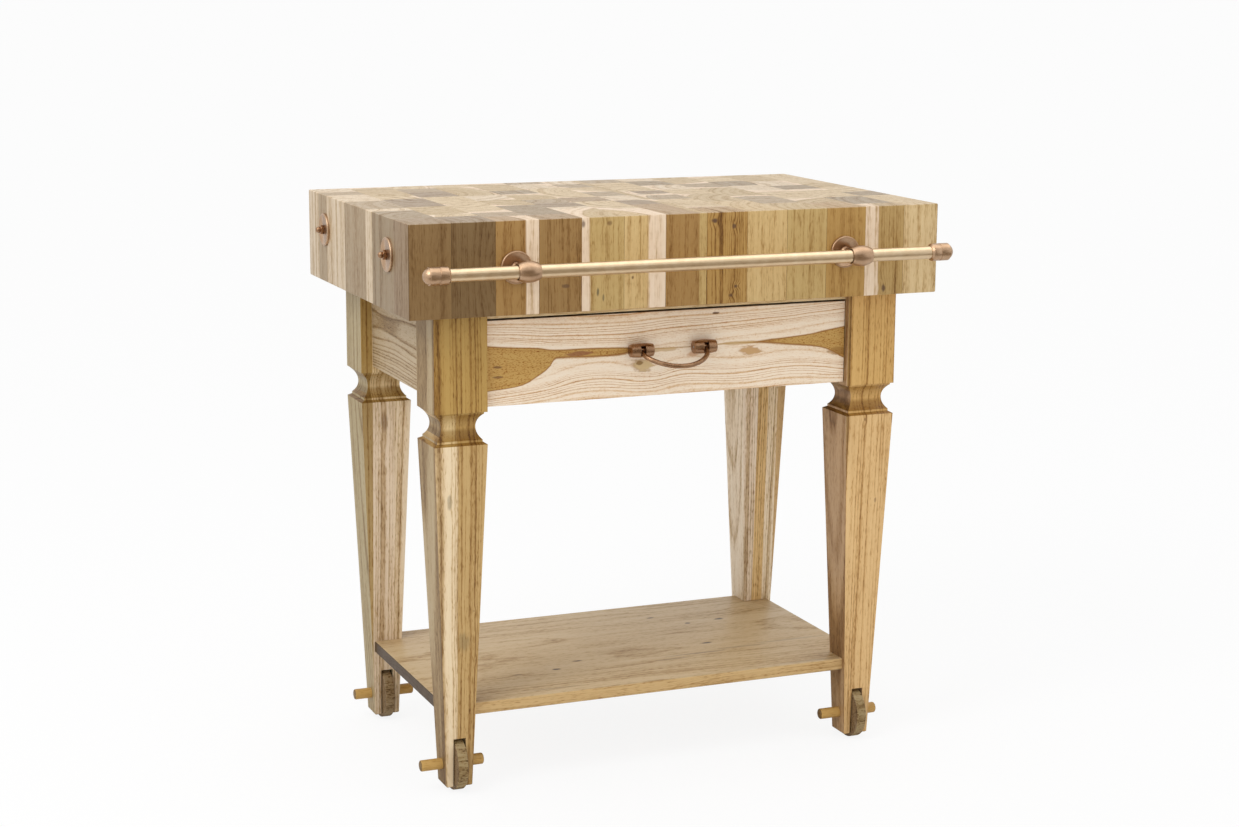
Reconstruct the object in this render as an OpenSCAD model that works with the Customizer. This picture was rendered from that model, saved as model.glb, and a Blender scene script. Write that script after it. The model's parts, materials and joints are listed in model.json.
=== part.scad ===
// Rolling butcher block: a thick end-grain block on four carved, tapered legs, with a drawer,
// a low shelf, a round copper rail and wooden wheels on pegs.
// Millimetres. +X runs along the block, +Y to the back, +Z up, the floor is z = 0.

/* [Block] */
// Height of the work surface above the floor
top_z = 918; // [890:1:940]
// Length of the block, left to right
block_l = 900; // [880:1:940]
// Depth of the block, front to back
block_w = 560; // [545:1:590]
// Thickness of the block
block_t = 145; // [135:1:150]
// Thickness of the slab at the block's left end; those between the outer two share the rest
slab_first_t = 67.5; // [55:0.5:75]
// Thickness of the slab at the block's right end
slab_last_t = 62.5; // [55:0.5:75]
// Eased edge round the block
block_ease = 2; // [1:0.5:3]

/* [Legs] */
// Side of the leg's square head and of the shoulder under the neck
leg_side = 86.5; // [80:0.5:92]
// Side of the leg's foot
foot_side = 43; // [40:0.5:50]
// How far the block overhangs the legs at the left and right
overhang_side = 51; // [40:1:60]
// How far the block overhangs the legs at the front and back
overhang_front = 40; // [32:1:45]
// Length of the square head, from the block down to the neck
head_h = 154.5; // [150:0.5:160]
// Height of the carved neck
neck_h = 51; // [46:1:56]
// Step that the neck is set in from the head, on each face
neck_step = 4.3; // [3:0.1:6]
// Height of the plain band over the cove
neck_band = 3; // [1.5:0.1:4]
// Step that the cove's lower end is set in from the shoulder, on each face
lip_step = 6.2; // [4.5:0.1:7]
// Height of the plain band under the cove
lip_band = 2; // [1:0.1:3]
// Height of the sloped shoulder under that band
neck_slope = 3.5; // [2:0.5:6]
// Depth of the cove
cove_depth = 10.8; // [8:0.1:12]
// Gap between the foot and the floor
foot_lift = 9.5; // [7:0.5:12]
// Small chamfer round the foot
foot_ease = 1.5; // [0.5:0.5:3]

/* [Wheels] */
// Wheel diameter
wheel_d = 88; // [82:1:94]
// Wheel thickness
wheel_w = 17.5; // [15:0.5:19]
// Rounded edge of the wheel's tread
wheel_ease = 1.5; // [0.5:0.5:3]
// Space between the wheel and each side of its slot
wheel_side_gap = 1.5; // [0.8:0.1:2]
// Space between the wheel and the end of its slot
wheel_end_gap = 2; // [1.5:0.5:6]
// Diameter of the wooden peg that carries the wheel
peg_d = 18; // [14:0.5:20]
// Length of the peg
peg_l = 105; // [95:1:115]
// Chamfer on the peg's ends
peg_ease = 1.5; // [0.5:0.5:3]
// How far the front pegs sit off their leg's centre, to the left
peg_shift = 6; // [0:0.5:9]

/* [Aprons and shelf] */
// Thickness of the aprons
apron_t = 22; // [18:0.5:26]
// How far an apron is set in from the leg's outer face
apron_inset = 20; // [14:0.5:24]
// Height of the aprons
apron_h = 143; // [134:1:148]
// Thickness of an apron's tenon
tenon_t = 10; // [8:0.5:12]
// Length of an apron's tenon
tenon_l = 30; // [22:0.5:32]
// Shoulder above and below an apron's tenon
tenon_shoulder = 14; // [8:0.5:20]
// Height of the thin rail over the drawer
top_rail_h = 12; // [10:0.5:14]
// Depth of the thin rail over the drawer
top_rail_w = 60; // [45:1:70]
// Length of the lap that holds the thin rail in a leg
top_rail_lap = 20; // [14:1:28]
// Width of that lap
top_rail_lap_w = 36; // [28:1:40]
// Thickness of the shelf
shelf_t = 20; // [17:0.5:25]
// Height of the shelf's top above the floor
shelf_z = 144; // [134:1:164]
// How far the shelf's left and right edges are set in from the legs' outer faces
shelf_inset_side = 5; // [3:0.5:9]
// How far the shelf's front and back edges are set in from the legs' outer faces
shelf_inset_front = 9.5; // [4:0.5:12]
// Depth of the housing that holds the shelf in each leg
shelf_housing = 6; // [4:0.5:8]
// Eased edge of the shelf
shelf_ease = 1.5; // [0.5:0.5:3]
// Width of the cleats that hold the block down
cleat_w = 24; // [20:1:28]
// Height of the cleats
cleat_h = 30; // [26:1:36]
// Space between a cleat's end and the leg
cleat_end_gap = 13.5; // [6:0.5:30]

/* [Drawer] */
// Thickness of the drawer front
front_t = 20; // [18:0.5:24]
// Height of the drawer front
front_h = 134; // [128:1:138]
// Gap between the drawer front and what is round it, at the sides
front_gap = 1.5; // [1:0.1:2.5]
// Gap between the drawer front and the thin rail over it
front_top_gap = 3; // [2:0.1:5]
// How far the drawer front is set back from the legs' faces
front_setback = 12; // [8:0.5:16]
// Space between the drawer and the back apron
box_back_gap = 8; // [5:0.5:30]
// Height of the drawer's sides
box_h = 110; // [96:1:114]
// Height of the sides' lower edge over the front's lower edge
box_rise = 12; // [8:0.5:14]
// Thickness of the drawer's sides
box_t = 16; // [14:0.5:18]
// Thickness of the drawer's back
back_t = 14; // [12:0.5:16]
// How far the drawer's back sits in from the ends of the sides
back_inset = 14; // [8:1:20]
// Thickness of the drawer's bottom
bottom_t = 6; // [4:0.5:8]
// Height of the bottom over the sides' lower edges
bottom_rise = 8; // [6:0.5:12]
// Depth of the groove that holds the bottom, and of the housing that holds the back
groove_d = 6; // [4:0.5:7]
// How far the dovetails reach into the front
tail_l = 14; // [10:0.5:15]
// Number of dovetails at each front corner
tails = 3; // [2:1:4]
// Width of a dovetail where it leaves the side
tail_w = 20; // [14:0.5:22]
// Slope of the dovetails' sides in degrees
tail_slope = 9; // [6:0.5:12]
// Space between the drawer's sides and the legs
runner_space = 6; // [4:0.5:8]
// Depth of the runner's groove in the drawer's side
slot_d = 8; // [6:0.5:9]
// Height of the runner's groove
slot_h = 16; // [14:0.5:20]
// Height of the groove's middle over the sides' lower edges
slot_rise = 58; // [48:1:68]
// Distance from the drawer front to the closed end of the groove
slot_start = 8; // [6:1:16]
// Clearance round a runner in its groove
runner_gap = 0.3; // [0.2:0.05:0.5]
// Space between a runner and the back apron
runner_back_gap = 2; // [1:0.5:12]
// Distance from a leg's inner edge to the screw that holds the runner to it
runner_screw_in = 22; // [16:1:30]

/* [Drawer pull] */
// Distance between the two knuckles' centres
pull_span = 109; // [96:1:128]
// How far the pull sits off the drawer front's middle, to the left
pull_shift = 2; // [0:0.5:5]
// Length of a knuckle
knuckle_l = 38; // [34:0.5:46]
// Diameter of a knuckle
knuckle_d = 23; // [21:0.5:26]
// Diameter of a knuckle's ends
knuckle_end_d = 20; // [16:0.5:20.5]
// Diameter of a knuckle's foot
knuckle_foot_d = 16.5; // [14:0.5:18]
// Distance from the drawer front to the bail's axis
pull_standoff = 14; // [13:0.5:18]
// Height of the bail's axis over the drawer front's lower edge
pull_rise = 76; // [60:1:90]
// Diameter of the bail's rod
bail_d = 7.5; // [6:0.25:8]
// Reach of the bail, from its axis to the middle of the rod
bail_reach = 48.5; // [44:0.5:56]
// Radius of the bail's corners
bail_corner = 21; // [18:0.5:24]
// Straight length of the bail's legs
bail_leg = 10; // [9:0.5:12]
// Angle of the bail at rest, from hanging straight down
bail_rest = 64; // [55:1:72]
// How far the bail lifts, in degrees
bail_lift = 50; // [30:1:60]
// Wall of the bail's eye round the pin
eye_wall = 3.3; // [2.5:0.1:3.6]
// Diameter of the pin in each knuckle
pull_pin_d = 4; // [3:0.25:5]
// Length of the pin in each knuckle
pull_pin_l = 30; // [24:1:32]
// Chamfer on the pins' ends
pull_pin_ease = 0.4; // [0.2:0.1:0.8]

/* [Copper rail] */
// Diameter of the rail
rail_d = 20.5; // [19:0.5:21.5]
// Wall of the rail's tube
rail_wall = 1.5; // [1:0.1:2.5]
// Length over the domes of the rail's end caps
rail_l = 891; // [870:1:892]
// Distance from the block's front face to the rail's centre line
rail_standoff = 55; // [50:1:66]
// Height of the rail's centre line under the work surface
rail_drop = 71.5; // [60:0.5:85]
// Distance between the two brackets
bracket_span = 560; // [500:1:620]
// Length of a bracket's barrel
barrel_l = 34.5; // [30:0.5:42]
// Largest diameter of a bracket's barrel
barrel_d = 33; // [31:0.5:38]
// Space round the rail in a barrel's mouth
mouth_gap = 1.2; // [0.8:0.1:1.5]
// Depth of a barrel's mouth
mouth_l = 8; // [6:0.5:10]
// Width of the lip round a barrel's mouth
mouth_lip = 0.8; // [0.6:0.05:1.2]
// Diameter of a bracket's stem
stem_d = 13; // [11:0.5:15]
// Diameter of the flare at each end of the stem
flare_d = 19; // [16:0.5:22]
// Length of a flare
flare_l = 6; // [4:0.5:8]
// Diameter of a rosette
rosette_d = 51; // [44:0.5:58]
// Thickness of a rosette
rosette_t = 5; // [4:0.5:6]
// Dish of a rosette inside its rim
rosette_dish = 1; // [0.5:0.25:1.5]
// Radius of the rounded rims of the rosettes and washers
rim_round = 2; // [1.5:0.1:2.5]
// Diameter of an end cap
cap_d = 28; // [26:0.5:32]
// Length of an end cap
cap_l = 41; // [38:0.5:46]
// Length of an end cap's outer part, up to its groove
cap_head_l = 25; // [22:0.5:28]
// Depth of an end cap over the tube's end
cap_floor = 14; // [12:0.5:17]
// Radius of an end cap's rounded shoulder
cap_round = 1; // [0.6:0.1:1.1]
// Radius of the groove round an end cap
cap_groove = 0.8; // [0.5:0.1:1.2]
// Chamfer of an end cap towards the tube
cap_chamfer = 3; // [2.2:0.1:3.2]
// How far an end cap's dome is set in from its side
cap_rim = 1.4; // [1.2:0.1:2.5]
// Height of an end cap's dome
cap_dome = 8.5; // [5:0.5:10]

/* [Tie rods] */
// Height of the tie rods under the work surface
tie_drop = 57; // [50:1:64]
// Distance between the two tie rods
tie_span = 355; // [330:1:360]
// Diameter of a tie rod
tie_d = 8; // [6:0.5:10]
// Diameter of a tie rod's washer
washer_d = 54; // [46:0.5:62]
// Thickness of a tie rod's washer
washer_t = 4.5; // [3.5:0.5:5.5]
// Dish of a washer inside its rim
washer_dish = 0.8; // [0.4:0.1:1]
// Size of the cap nuts across their flats
nut_af = 13; // [12.5:0.5:17]
// Height of a cap nut's hexagon
nut_h = 5.5; // [4.5:0.5:7]
// Diameter of a cap nut's ball
ball_d = 10.5; // [10:0.25:12]
// Height of a whole cap nut
cap_nut_h = 13.2; // [12:0.1:14]

/* [Fasteners] */
// Diameter of the studs that hold the rail's brackets
stud_d = 8; // [6:0.5:9]
// Length of a stud inside the block
stud_in_block = 50; // [40:1:56]
// Metal left in a bracket between the stud's hole and the barrel
stud_floor = 2; // [1:0.5:6]
// Diameter of the grub screws in the brackets
grub_d = 5; // [4:0.5:6]
// Width across the corners of a grub screw's socket
grub_socket_d = 2.7; // [2.2:0.1:3.2]
// How far a grub screw sits inside the barrel
grub_sink = 0.6; // [0.3:0.1:1.5]
// Diameter of the wood screws
screw_d = 4.5; // [4:0.5:5]
// Diameter of the wood screws' heads
screw_head_d = 8.5; // [8:0.5:10]
// Length of the screws in the runners
runner_screw_l = 34; // [28:1:40]
// Length of the screws that hold the block down
top_screw_l = 55; // [48:1:64]
// Diameter of the screws in the pull
pull_screw_d = 4; // [3:0.5:5]
// Diameter of the heads of the screws in the pull
pull_head_d = 8; // [7:0.5:10]
// Height of those heads
pull_head_h = 2.4; // [2:0.1:3]
// Length of the thread inside a knuckle
pull_screw_in = 6; // [4:0.5:6.5]

/* [Clearances] */
// Radial clearance of what turns on a pin or peg
running_gap = 0.05; // [0.02:0.01:0.1]
// Radial clearance of a pin, peg, stud or screw that stays put
set_gap = 0.05; // [0.02:0.01:0.1]
// Clearance between a moving piece and the wall of its slot
swing_gap = 0.4; // [0.3:0.05:0.6]
// Space left at the bottom of a mortise, and over the end of a stud
glue_gap = 0.8; // [0.4:0.1:0.9]

/* [Hidden] */

fine = 96;
small = 48;
over = 1;

wood_pale = [0.87, 0.77, 0.60];
wood_gold = [0.77, 0.64, 0.43];
wood_brown = [0.56, 0.45, 0.29];
wood_end = [0.70, 0.61, 0.47];
copper = [0.78, 0.58, 0.45];
steel = [0.62, 0.63, 0.65];

// Colours of the block's slabs, from the left
slab_colors = [
    wood_brown, wood_brown, wood_brown, wood_end, wood_gold, wood_pale, wood_end,
    wood_brown, wood_pale, wood_gold, wood_end, wood_brown, wood_pale
];
slab_count = len(slab_colors);
slab_t = (block_l - slab_first_t - slab_last_t) / (slab_count - 2);

// The origin is under the middle of the whole outline, rail included
y_shift = (rail_standoff + barrel_d / 2) / 2;
front_y = -block_w / 2;
block_z = top_z - block_t;
leg_x = block_l / 2 - overhang_side - leg_side / 2;
leg_y = block_w / 2 - overhang_front - leg_side / 2;
inner_x = leg_x - leg_side / 2;
inner_y = leg_y - leg_side / 2;
neck_top = block_z - head_h;
neck_bottom = neck_top - neck_h;
cove_h = neck_h - neck_band - lip_band - neck_slope;
cove_r = (cove_h * cove_h / 4 + cove_depth * cove_depth) / (2 * cove_depth);
cove_x = leg_side / 2 - neck_step + cove_r - cove_depth;
cove_z = neck_top - neck_band - cove_h / 2;

axle_z = wheel_d / 2;
slot_w = wheel_w + 2 * wheel_side_gap;
slot_top = wheel_d + wheel_end_gap;

apron_x = leg_x + leg_side / 2 - apron_inset - apron_t / 2;
apron_y = leg_y + leg_side / 2 - apron_inset - apron_t / 2;
apron_z = block_z - apron_h;

// Half the side of the tapered leg at height z
function leg_half(z) =
    (foot_side + (leg_side - foot_side) * (z - foot_lift) / (neck_bottom - foot_lift)) / 2;

shelf_mid = shelf_z - shelf_t / 2;
shelf_x = leg_x + leg_half(shelf_mid) - shelf_inset_side;
shelf_y = leg_y + leg_half(shelf_mid) - shelf_inset_front;
notch_x = leg_x - leg_half(shelf_mid) + shelf_housing;
notch_y = leg_y - leg_half(shelf_mid) + shelf_housing;

drawer_y = front_y + overhang_front + front_setback;
drawer_top = block_z - top_rail_h - front_top_gap;
drawer_z = drawer_top - front_h;
apron_back_face = apron_y - apron_t / 2;
box_x = inner_x - runner_space;
box_y = drawer_y + front_t;
box_z = drawer_z + box_rise;
box_l = apron_back_face - box_back_gap - box_y;
bottom_z = box_z + bottom_rise;
slot_z = box_z + slot_rise;
runner_y = box_y + slot_start;
runner_l = apron_back_face - runner_back_gap - runner_y;
runner_face_x = box_x - slot_d + runner_gap;
tail_pitch = box_h / tails;

cleat_x = apron_x - apron_t / 2 - cleat_w / 2;
cleat_l = 2 * (inner_y - cleat_end_gap);
cleat_screw_pitch = cleat_l / 3;

pull_y = drawer_y - pull_standoff;
pull_z = drawer_z + pull_rise;
bail_bend = 2 * atan((bail_reach - bail_corner - bail_leg) / (pull_span / 2 - bail_corner));
bail_bow_r = bail_corner + (pull_span / 2 - bail_corner) / sin(bail_bend);
eye_r = pull_pin_d / 2 + eye_wall;
eye_w = bail_d - 1;
pull_slot_w = bail_d + 2 * swing_gap;
// The brazed joints of the bail stand this much proud
bail_braze = 0.08;

rail_y = front_y - rail_standoff;
rail_z = top_z - rail_drop;
tie_z = top_z - tie_drop;
tie_y = tie_span / 2;
// How deep a stem's flare sinks into the barrel, and the straight edge of its other flare
barrel_sink = 1.5;
flare_edge = 1;
stud_top = rail_standoff - barrel_d / 2 - stud_floor;
mouth_r = rail_d / 2 + mouth_gap;
barrel_end_r = mouth_r + mouth_lip;
bracket_seat = rail_standoff - rosette_t + rosette_dish;
cap_end = cap_l - cap_dome;
cap_foot_r = cap_d / 2 - cap_rim;
cap_dome_r = (cap_foot_r * cap_foot_r + cap_dome * cap_dome) / (2 * cap_dome);
nut_seat = washer_t - washer_dish;

// Where the nth slab ends, the outer two reach past the block's ends
function slab_edge(n) =
    n == 0 ? -block_l : n == slab_count ? block_l : slab_first_t + (n - 1) * slab_t - block_l / 2;

// A box with its base centred on the origin and all its edges chamfered by c
module eased_box(l, w, h, c) {
    intersection() {
        linear_extrude(h) eased_outline(l, w, c);
        rotate([90, 0, 0]) linear_extrude(w, center = true)
            translate([0, h / 2]) eased_outline(l, h, c);
        rotate([90, 0, 90]) linear_extrude(l, center = true)
            translate([0, h / 2]) eased_outline(w, h, c);
    }
}

module eased_outline(a, b, c) {
    polygon([
        [-a / 2 + c, -b / 2], [a / 2 - c, -b / 2], [a / 2, -b / 2 + c], [a / 2, b / 2 - c],
        [a / 2 - c, b / 2], [-a / 2 + c, b / 2], [-a / 2, b / 2 - c], [-a / 2, -b / 2 + c]
    ]);
}

// A cylinder along X, centred on the origin
module rod_x(r, l, sides = small) {
    rotate([0, 90, 0]) cylinder(r = r, h = l, center = true, $fn = sides);
}

// A cylinder along X with chamfered ends
module eased_rod_x(r, l, c, sides = small) {
    rotate([0, 90, 0]) rotate_extrude($fn = sides) polygon([
        [0, -l / 2], [r - c, -l / 2], [r, -l / 2 + c], [r, l / 2 - c], [r - c, l / 2], [0, l / 2]
    ]);
}

// A barrel along X: a bulging cylinder whose side is one arc
module barrel_x(r, end_r, l, sides = fine) {
    bulge_r = (l * l / 4 + (r - end_r) * (r - end_r)) / (2 * (r - end_r));
    rotate([0, 90, 0]) rotate_extrude($fn = sides) intersection() {
        translate([r - bulge_r, 0]) circle(r = bulge_r, $fn = 4 * sides);
        translate([0, -l / 2]) square([r, l]);
    }
}

// A disc on z = 0 whose rim is rounded over, dished inside the rim
module rimmed_disc(d, t, dish, hole_r) {
    rotate_extrude($fn = fine) difference() {
        union() {
            square([d / 2, t - rim_round]);
            square([d / 2 - rim_round, t - dish]);
            translate([d / 2 - rim_round, t - rim_round]) circle(r = rim_round, $fn = small);
        }
        translate([0, -over]) square([hole_r, t + 2 * over]);
    }
}

// A countersunk wood screw whose head lies on z = 0 and whose point is at -l
module wood_screw(l) {
    head_h = (screw_head_d - screw_d) / 2;
    difference() {
        rotate_extrude($fn = small) polygon([
            [0, 0], [screw_head_d / 2, 0], [screw_d / 2, -head_h], [screw_d / 2, -l + screw_d], [0, -l]
        ]);
        cross_recess(screw_d, head_h);
    }
}

// A cross-shaped recess for a driver, as wide as w and centred on z = 0
module cross_recess(w, h) {
    for (turn = [0, 90])
        rotate([0, 0, turn]) cube([w, w / 5, h], center = true);
}

// The hole that a wood screw sits in
module screw_hole(l) {
    head_h = (screw_head_d - screw_d) / 2;
    rotate_extrude($fn = small) polygon([
        [0, over], [screw_head_d / 2 + set_gap, over], [screw_head_d / 2 + set_gap, 0],
        [screw_d / 2 + set_gap, -head_h], [screw_d / 2 + set_gap, -l - set_gap], [0, -l - set_gap]
    ]);
}

// Copies its children, drawn for the left side, to the side named by sx
module side(sx) {
    mirror([sx > 0 ? 1 : 0, 0, 0]) children();
}

// Everything is laid out from the middle of the block and moved back at the end
module placed() {
    translate([0, y_shift, 0]) children();
}

module at_legs(sx, sy) {
    translate([sx * leg_x, sy * leg_y, 0]) children();
}

// Block

module tie_bores() {
    for (sy = [-1, 1])
        translate([0, sy * tie_y, tie_z]) rod_x(tie_d / 2 + set_gap, block_l + 2 * over);
}

module stud_holes() {
    for (sx = [-1, 1])
        translate([sx * bracket_span / 2, front_y - over, rail_z]) rotate([-90, 0, 0])
            cylinder(r = stud_d / 2 + set_gap, h = stud_in_block + glue_gap + over, $fn = small);
}

module block_slab(n) {
    color(slab_colors[n - 1]) placed() difference() {
        intersection() {
            translate([0, 0, block_z]) eased_box(block_l, block_w, block_t, block_ease);
            translate([slab_edge(n - 1), -block_w, block_z - over])
                cube([slab_edge(n) - slab_edge(n - 1), 2 * block_w, block_t + 2 * over]);
        }
        tie_bores();
        stud_holes();
        top_screw_holes();
    }
}

// Legs

module leg_profile() {
    half = leg_side / 2;
    foot = foot_side / 2;
    neck = half - neck_step;
    lip = half - lip_step;
    outline = [
        [foot - foot_ease, foot_lift], [leg_half(foot_lift + foot_ease), foot_lift + foot_ease],
        [half, neck_bottom], [lip, neck_bottom + neck_slope], [lip, cove_z],
        [neck, cove_z], [neck, neck_top], [half, neck_top], [half, block_z]
    ];
    mirrored = [for (i = [len(outline) - 1:-1:0]) [-outline[i][0], outline[i][1]]];
    rotate([90, 0, 0]) linear_extrude(2 * leg_side, center = true)
        polygon(concat(outline, mirrored));
}

module leg_blank() {
    difference() {
        intersection() {
            leg_profile();
            rotate([0, 0, 90]) leg_profile();
        }
        for (turn = [0:90:270])
            rotate([0, 0, turn]) translate([cove_x, 0, cove_z]) rotate([90, 0, 0])
                cylinder(r = cove_r, h = 2 * leg_side, center = true, $fn = fine);
    }
}

// Slot for the wheel, open below and at the front and back
module wheel_slot() {
    translate([-slot_w / 2, -leg_side, foot_lift - over])
        cube([slot_w, 2 * leg_side, slot_top - foot_lift + over]);
}

module leg(sx, sy) {
    placed() difference() {
        at_legs(sx, sy) difference() {
            leg_blank();
            wheel_slot();
            translate([0, 0, axle_z]) rod_x(peg_d / 2 + set_gap, 2 * leg_side);
        }
        side_tenon(sx, sy, glue_gap);
        if (sy > 0) back_tenon(sx, glue_gap);
        if (sy < 0) top_rail_end(sx);
        shelf_board();
        runner_screw_holes();
    }
}

// Aprons, thin rail and cleats

module side_tenon(sx, sy, extra = 0) {
    l = tenon_l + extra;
    translate([sx * apron_x, sy * (inner_y + l / 2), apron_z + apron_h / 2])
        cube([tenon_t, l, apron_h - 2 * tenon_shoulder], center = true);
}

module back_tenon(sx, extra = 0) {
    l = tenon_l + extra;
    translate([sx * (inner_x + l / 2), apron_y, apron_z + apron_h / 2])
        cube([l, tenon_t, apron_h - 2 * tenon_shoulder], center = true);
}

module apron_side(sx) {
    color(wood_pale) placed() {
        translate([sx * apron_x, 0, apron_z + apron_h / 2])
            cube([apron_t, 2 * inner_y, apron_h], center = true);
        for (sy = [-1, 1]) side_tenon(sx, sy);
    }
}

module apron_back() {
    color(wood_pale) placed() {
        translate([0, apron_y, apron_z + apron_h / 2])
            cube([2 * inner_x, apron_t, apron_h], center = true);
        for (sx = [-1, 1]) back_tenon(sx);
    }
}

module top_rail_end(sx) {
    translate([
        sx * (inner_x + top_rail_lap / 2), drawer_y + top_rail_w / 2, block_z - top_rail_h / 2
    ]) cube([top_rail_lap, top_rail_lap_w, top_rail_h], center = true);
}

module front_top_rail() {
    color(wood_pale) placed() {
        translate([0, drawer_y + top_rail_w / 2, block_z - top_rail_h / 2])
            cube([2 * inner_x, top_rail_w, top_rail_h], center = true);
        for (sx = [-1, 1]) top_rail_end(sx);
    }
}

module at_top_screws() {
    for (sx = [-1, 1]) for (i = [-1:1])
        translate([sx * cleat_x, i * cleat_screw_pitch, block_z - cleat_h])
            rotate([180, 0, 0]) children();
}

module top_screw_holes() {
    at_top_screws() screw_hole(top_screw_l);
}

module top_cleat(sx) {
    color(wood_gold) placed() difference() {
        translate([sx * cleat_x, 0, block_z - cleat_h / 2])
            cube([cleat_w, cleat_l, cleat_h], center = true);
        top_screw_holes();
    }
}

module top_screws() {
    color(steel) placed() at_top_screws() wood_screw(top_screw_l);
}

// Shelf

module shelf_board() {
    difference() {
        translate([0, 0, shelf_z - shelf_t]) eased_box(2 * shelf_x, 2 * shelf_y, shelf_t, shelf_ease);
        for (sx = [-1, 1]) for (sy = [-1, 1])
            translate([sx * (notch_x + leg_side), sy * (notch_y + leg_side), shelf_mid])
                cube([2 * leg_side, 2 * leg_side, 2 * shelf_t], center = true);
    }
}

module shelf() {
    color(wood_gold) placed() shelf_board();
}

// Drawer

// Outline of one dovetail, seen from the drawer's side, rooted at y = 0
module tail_outline() {
    root = tail_w / 2;
    tip = root + tail_l * tan(tail_slope);
    polygon([[over, -root], [over, root], [0, root], [-tail_l, tip], [-tail_l, -tip], [0, -root]]);
}

module dovetails(sx) {
    for (i = [0:tails - 1])
        translate([sx * (box_x - box_t / 2), box_y, box_z + (i + 0.5) * tail_pitch])
            rotate([90, 0, 90]) linear_extrude(box_t, center = true) tail_outline();
}

module bottom_panel() {
    translate([-box_x + box_t - groove_d, box_y - groove_d, bottom_z])
        cube([2 * (box_x - box_t + groove_d), box_l + groove_d, bottom_t]);
}

module back_board() {
    z = bottom_z + bottom_t;
    translate([-box_x + box_t - groove_d, box_y + box_l - back_inset - back_t, z])
        cube([2 * (box_x - box_t + groove_d), back_t, box_z + box_h - z]);
}

module at_pull_screws() {
    for (sx = [-1, 1])
        translate([sx * pull_span / 2 - pull_shift, box_y, pull_z]) rotate([90, 0, 0]) children();
}

module drawer_front() {
    color(wood_pale) placed() difference() {
        translate([-inner_x + front_gap, drawer_y, drawer_z])
            cube([2 * (inner_x - front_gap), front_t, front_h]);
        for (sx = [-1, 1]) intersection() {
            dovetails(sx);
            translate([-inner_x, drawer_y, drawer_z]) cube([2 * inner_x, front_t, front_h]);
        }
        bottom_panel();
        at_pull_screws() translate([0, 0, -over])
            cylinder(r = pull_screw_d / 2 + set_gap, h = front_t + 2 * over, $fn = small);
    }
}

module drawer_side(sx) {
    color(wood_gold) placed() difference() {
        union() {
            translate([sx * (box_x - box_t / 2), box_y + box_l / 2, box_z + box_h / 2])
                cube([box_t, box_l, box_h], center = true);
            dovetails(sx);
        }
        bottom_panel();
        back_board();
        translate([sx * (box_x + over), runner_y - runner_gap + box_l / 2, slot_z])
            cube([2 * (slot_d + over), box_l, slot_h], center = true);
    }
}

module drawer_back() {
    color(wood_gold) placed() back_board();
}

module drawer_bottom() {
    color(wood_pale) placed() bottom_panel();
}

// Runners

module at_runner_screws() {
    for (sx = [-1, 1]) for (sy = [-1, 1])
        translate([sx * runner_face_x, sy * (inner_y + runner_screw_in), slot_z])
            rotate([0, sx * -90, 0]) children();
}

module runner_screw_holes() {
    at_runner_screws() screw_hole(runner_screw_l);
}

module drawer_runner(sx) {
    runner_t = inner_x - runner_face_x;
    color(wood_gold) placed() difference() {
        translate([sx * (runner_face_x + runner_t / 2), runner_y + runner_l / 2, slot_z])
            cube([runner_t, runner_l, slot_h - 2 * runner_gap], center = true);
        runner_screw_holes();
    }
}

module runner_screws() {
    color(steel) placed() at_runner_screws() wood_screw(runner_screw_l);
}

// Drawer pull

// Direction of the bail at an angle from hanging down, as [y, z]
function bail_dir(a) = [-sin(a), -cos(a)];
// The same turned a quarter towards the drawer front
function bail_side(a) = [cos(a), -sin(a)];

module at_knuckle(sx) {
    translate([sx * pull_span / 2 - pull_shift, pull_y, pull_z]) children();
}

// The space that the bail's eye and rod sweep inside a knuckle
module bail_sweep() {
    first = bail_rest;
    last = bail_rest + bail_lift;
    middle = (first + last) / 2;
    wide = bail_d / 2 + swing_gap;
    far = knuckle_d;
    rotate([90, 0, 90]) linear_extrude(pull_slot_w, center = true) polygon([
        wide * bail_side(first), wide * bail_side(first) + far * bail_dir(first),
        far / cos(bail_lift / 2) * bail_dir(middle),
        -wide * bail_side(last) + far * bail_dir(last), -wide * bail_side(last)
    ]);
    rod_x(eye_r + swing_gap, pull_slot_w);
}

module pull_knuckle(sx) {
    color(copper) placed() at_knuckle(sx) difference() {
        union() {
            barrel_x(knuckle_d / 2, knuckle_end_d / 2, knuckle_l);
            rotate([-90, 0, 0]) cylinder(r = knuckle_foot_d / 2, h = pull_standoff, $fn = small);
        }
        bail_sweep();
        translate([-sx * (knuckle_l - pull_pin_l) / 2, 0, 0])
            rod_x(pull_pin_d / 2 + set_gap, pull_pin_l + over + set_gap);
        translate([0, pull_standoff + over, 0]) rotate([90, 0, 0])
            cylinder(r = pull_screw_d / 2 + set_gap, h = pull_screw_in + over + set_gap, $fn = small);
    }
}

module pull_pins() {
    color(steel) placed() for (sx = [-1, 1])
        at_knuckle(sx) translate([-sx * (knuckle_l - pull_pin_l) / 2, 0, 0])
            eased_rod_x(pull_pin_d / 2, pull_pin_l, pull_pin_ease);
}

module pull_screws() {
    color(steel) placed() at_pull_screws() difference() {
        union() {
            cylinder(r = pull_screw_d / 2, h = front_t + pull_screw_in, $fn = small);
            translate([0, 0, -pull_head_h])
                cylinder(r = pull_head_d / 2, h = pull_head_h, $fn = small);
        }
        translate([0, 0, -pull_head_h]) cross_recess(pull_screw_d, pull_head_h);
    }
}

// An arc of the bail's rod round the origin, in the XY plane, from one angle over a sweep
module bail_arc(r, from, sweep) {
    rotate([0, 0, from]) rotate_extrude(angle = sweep, $fn = fine)
        translate([r, 0]) circle(r = bail_d / 2, $fn = small);
}

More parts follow.
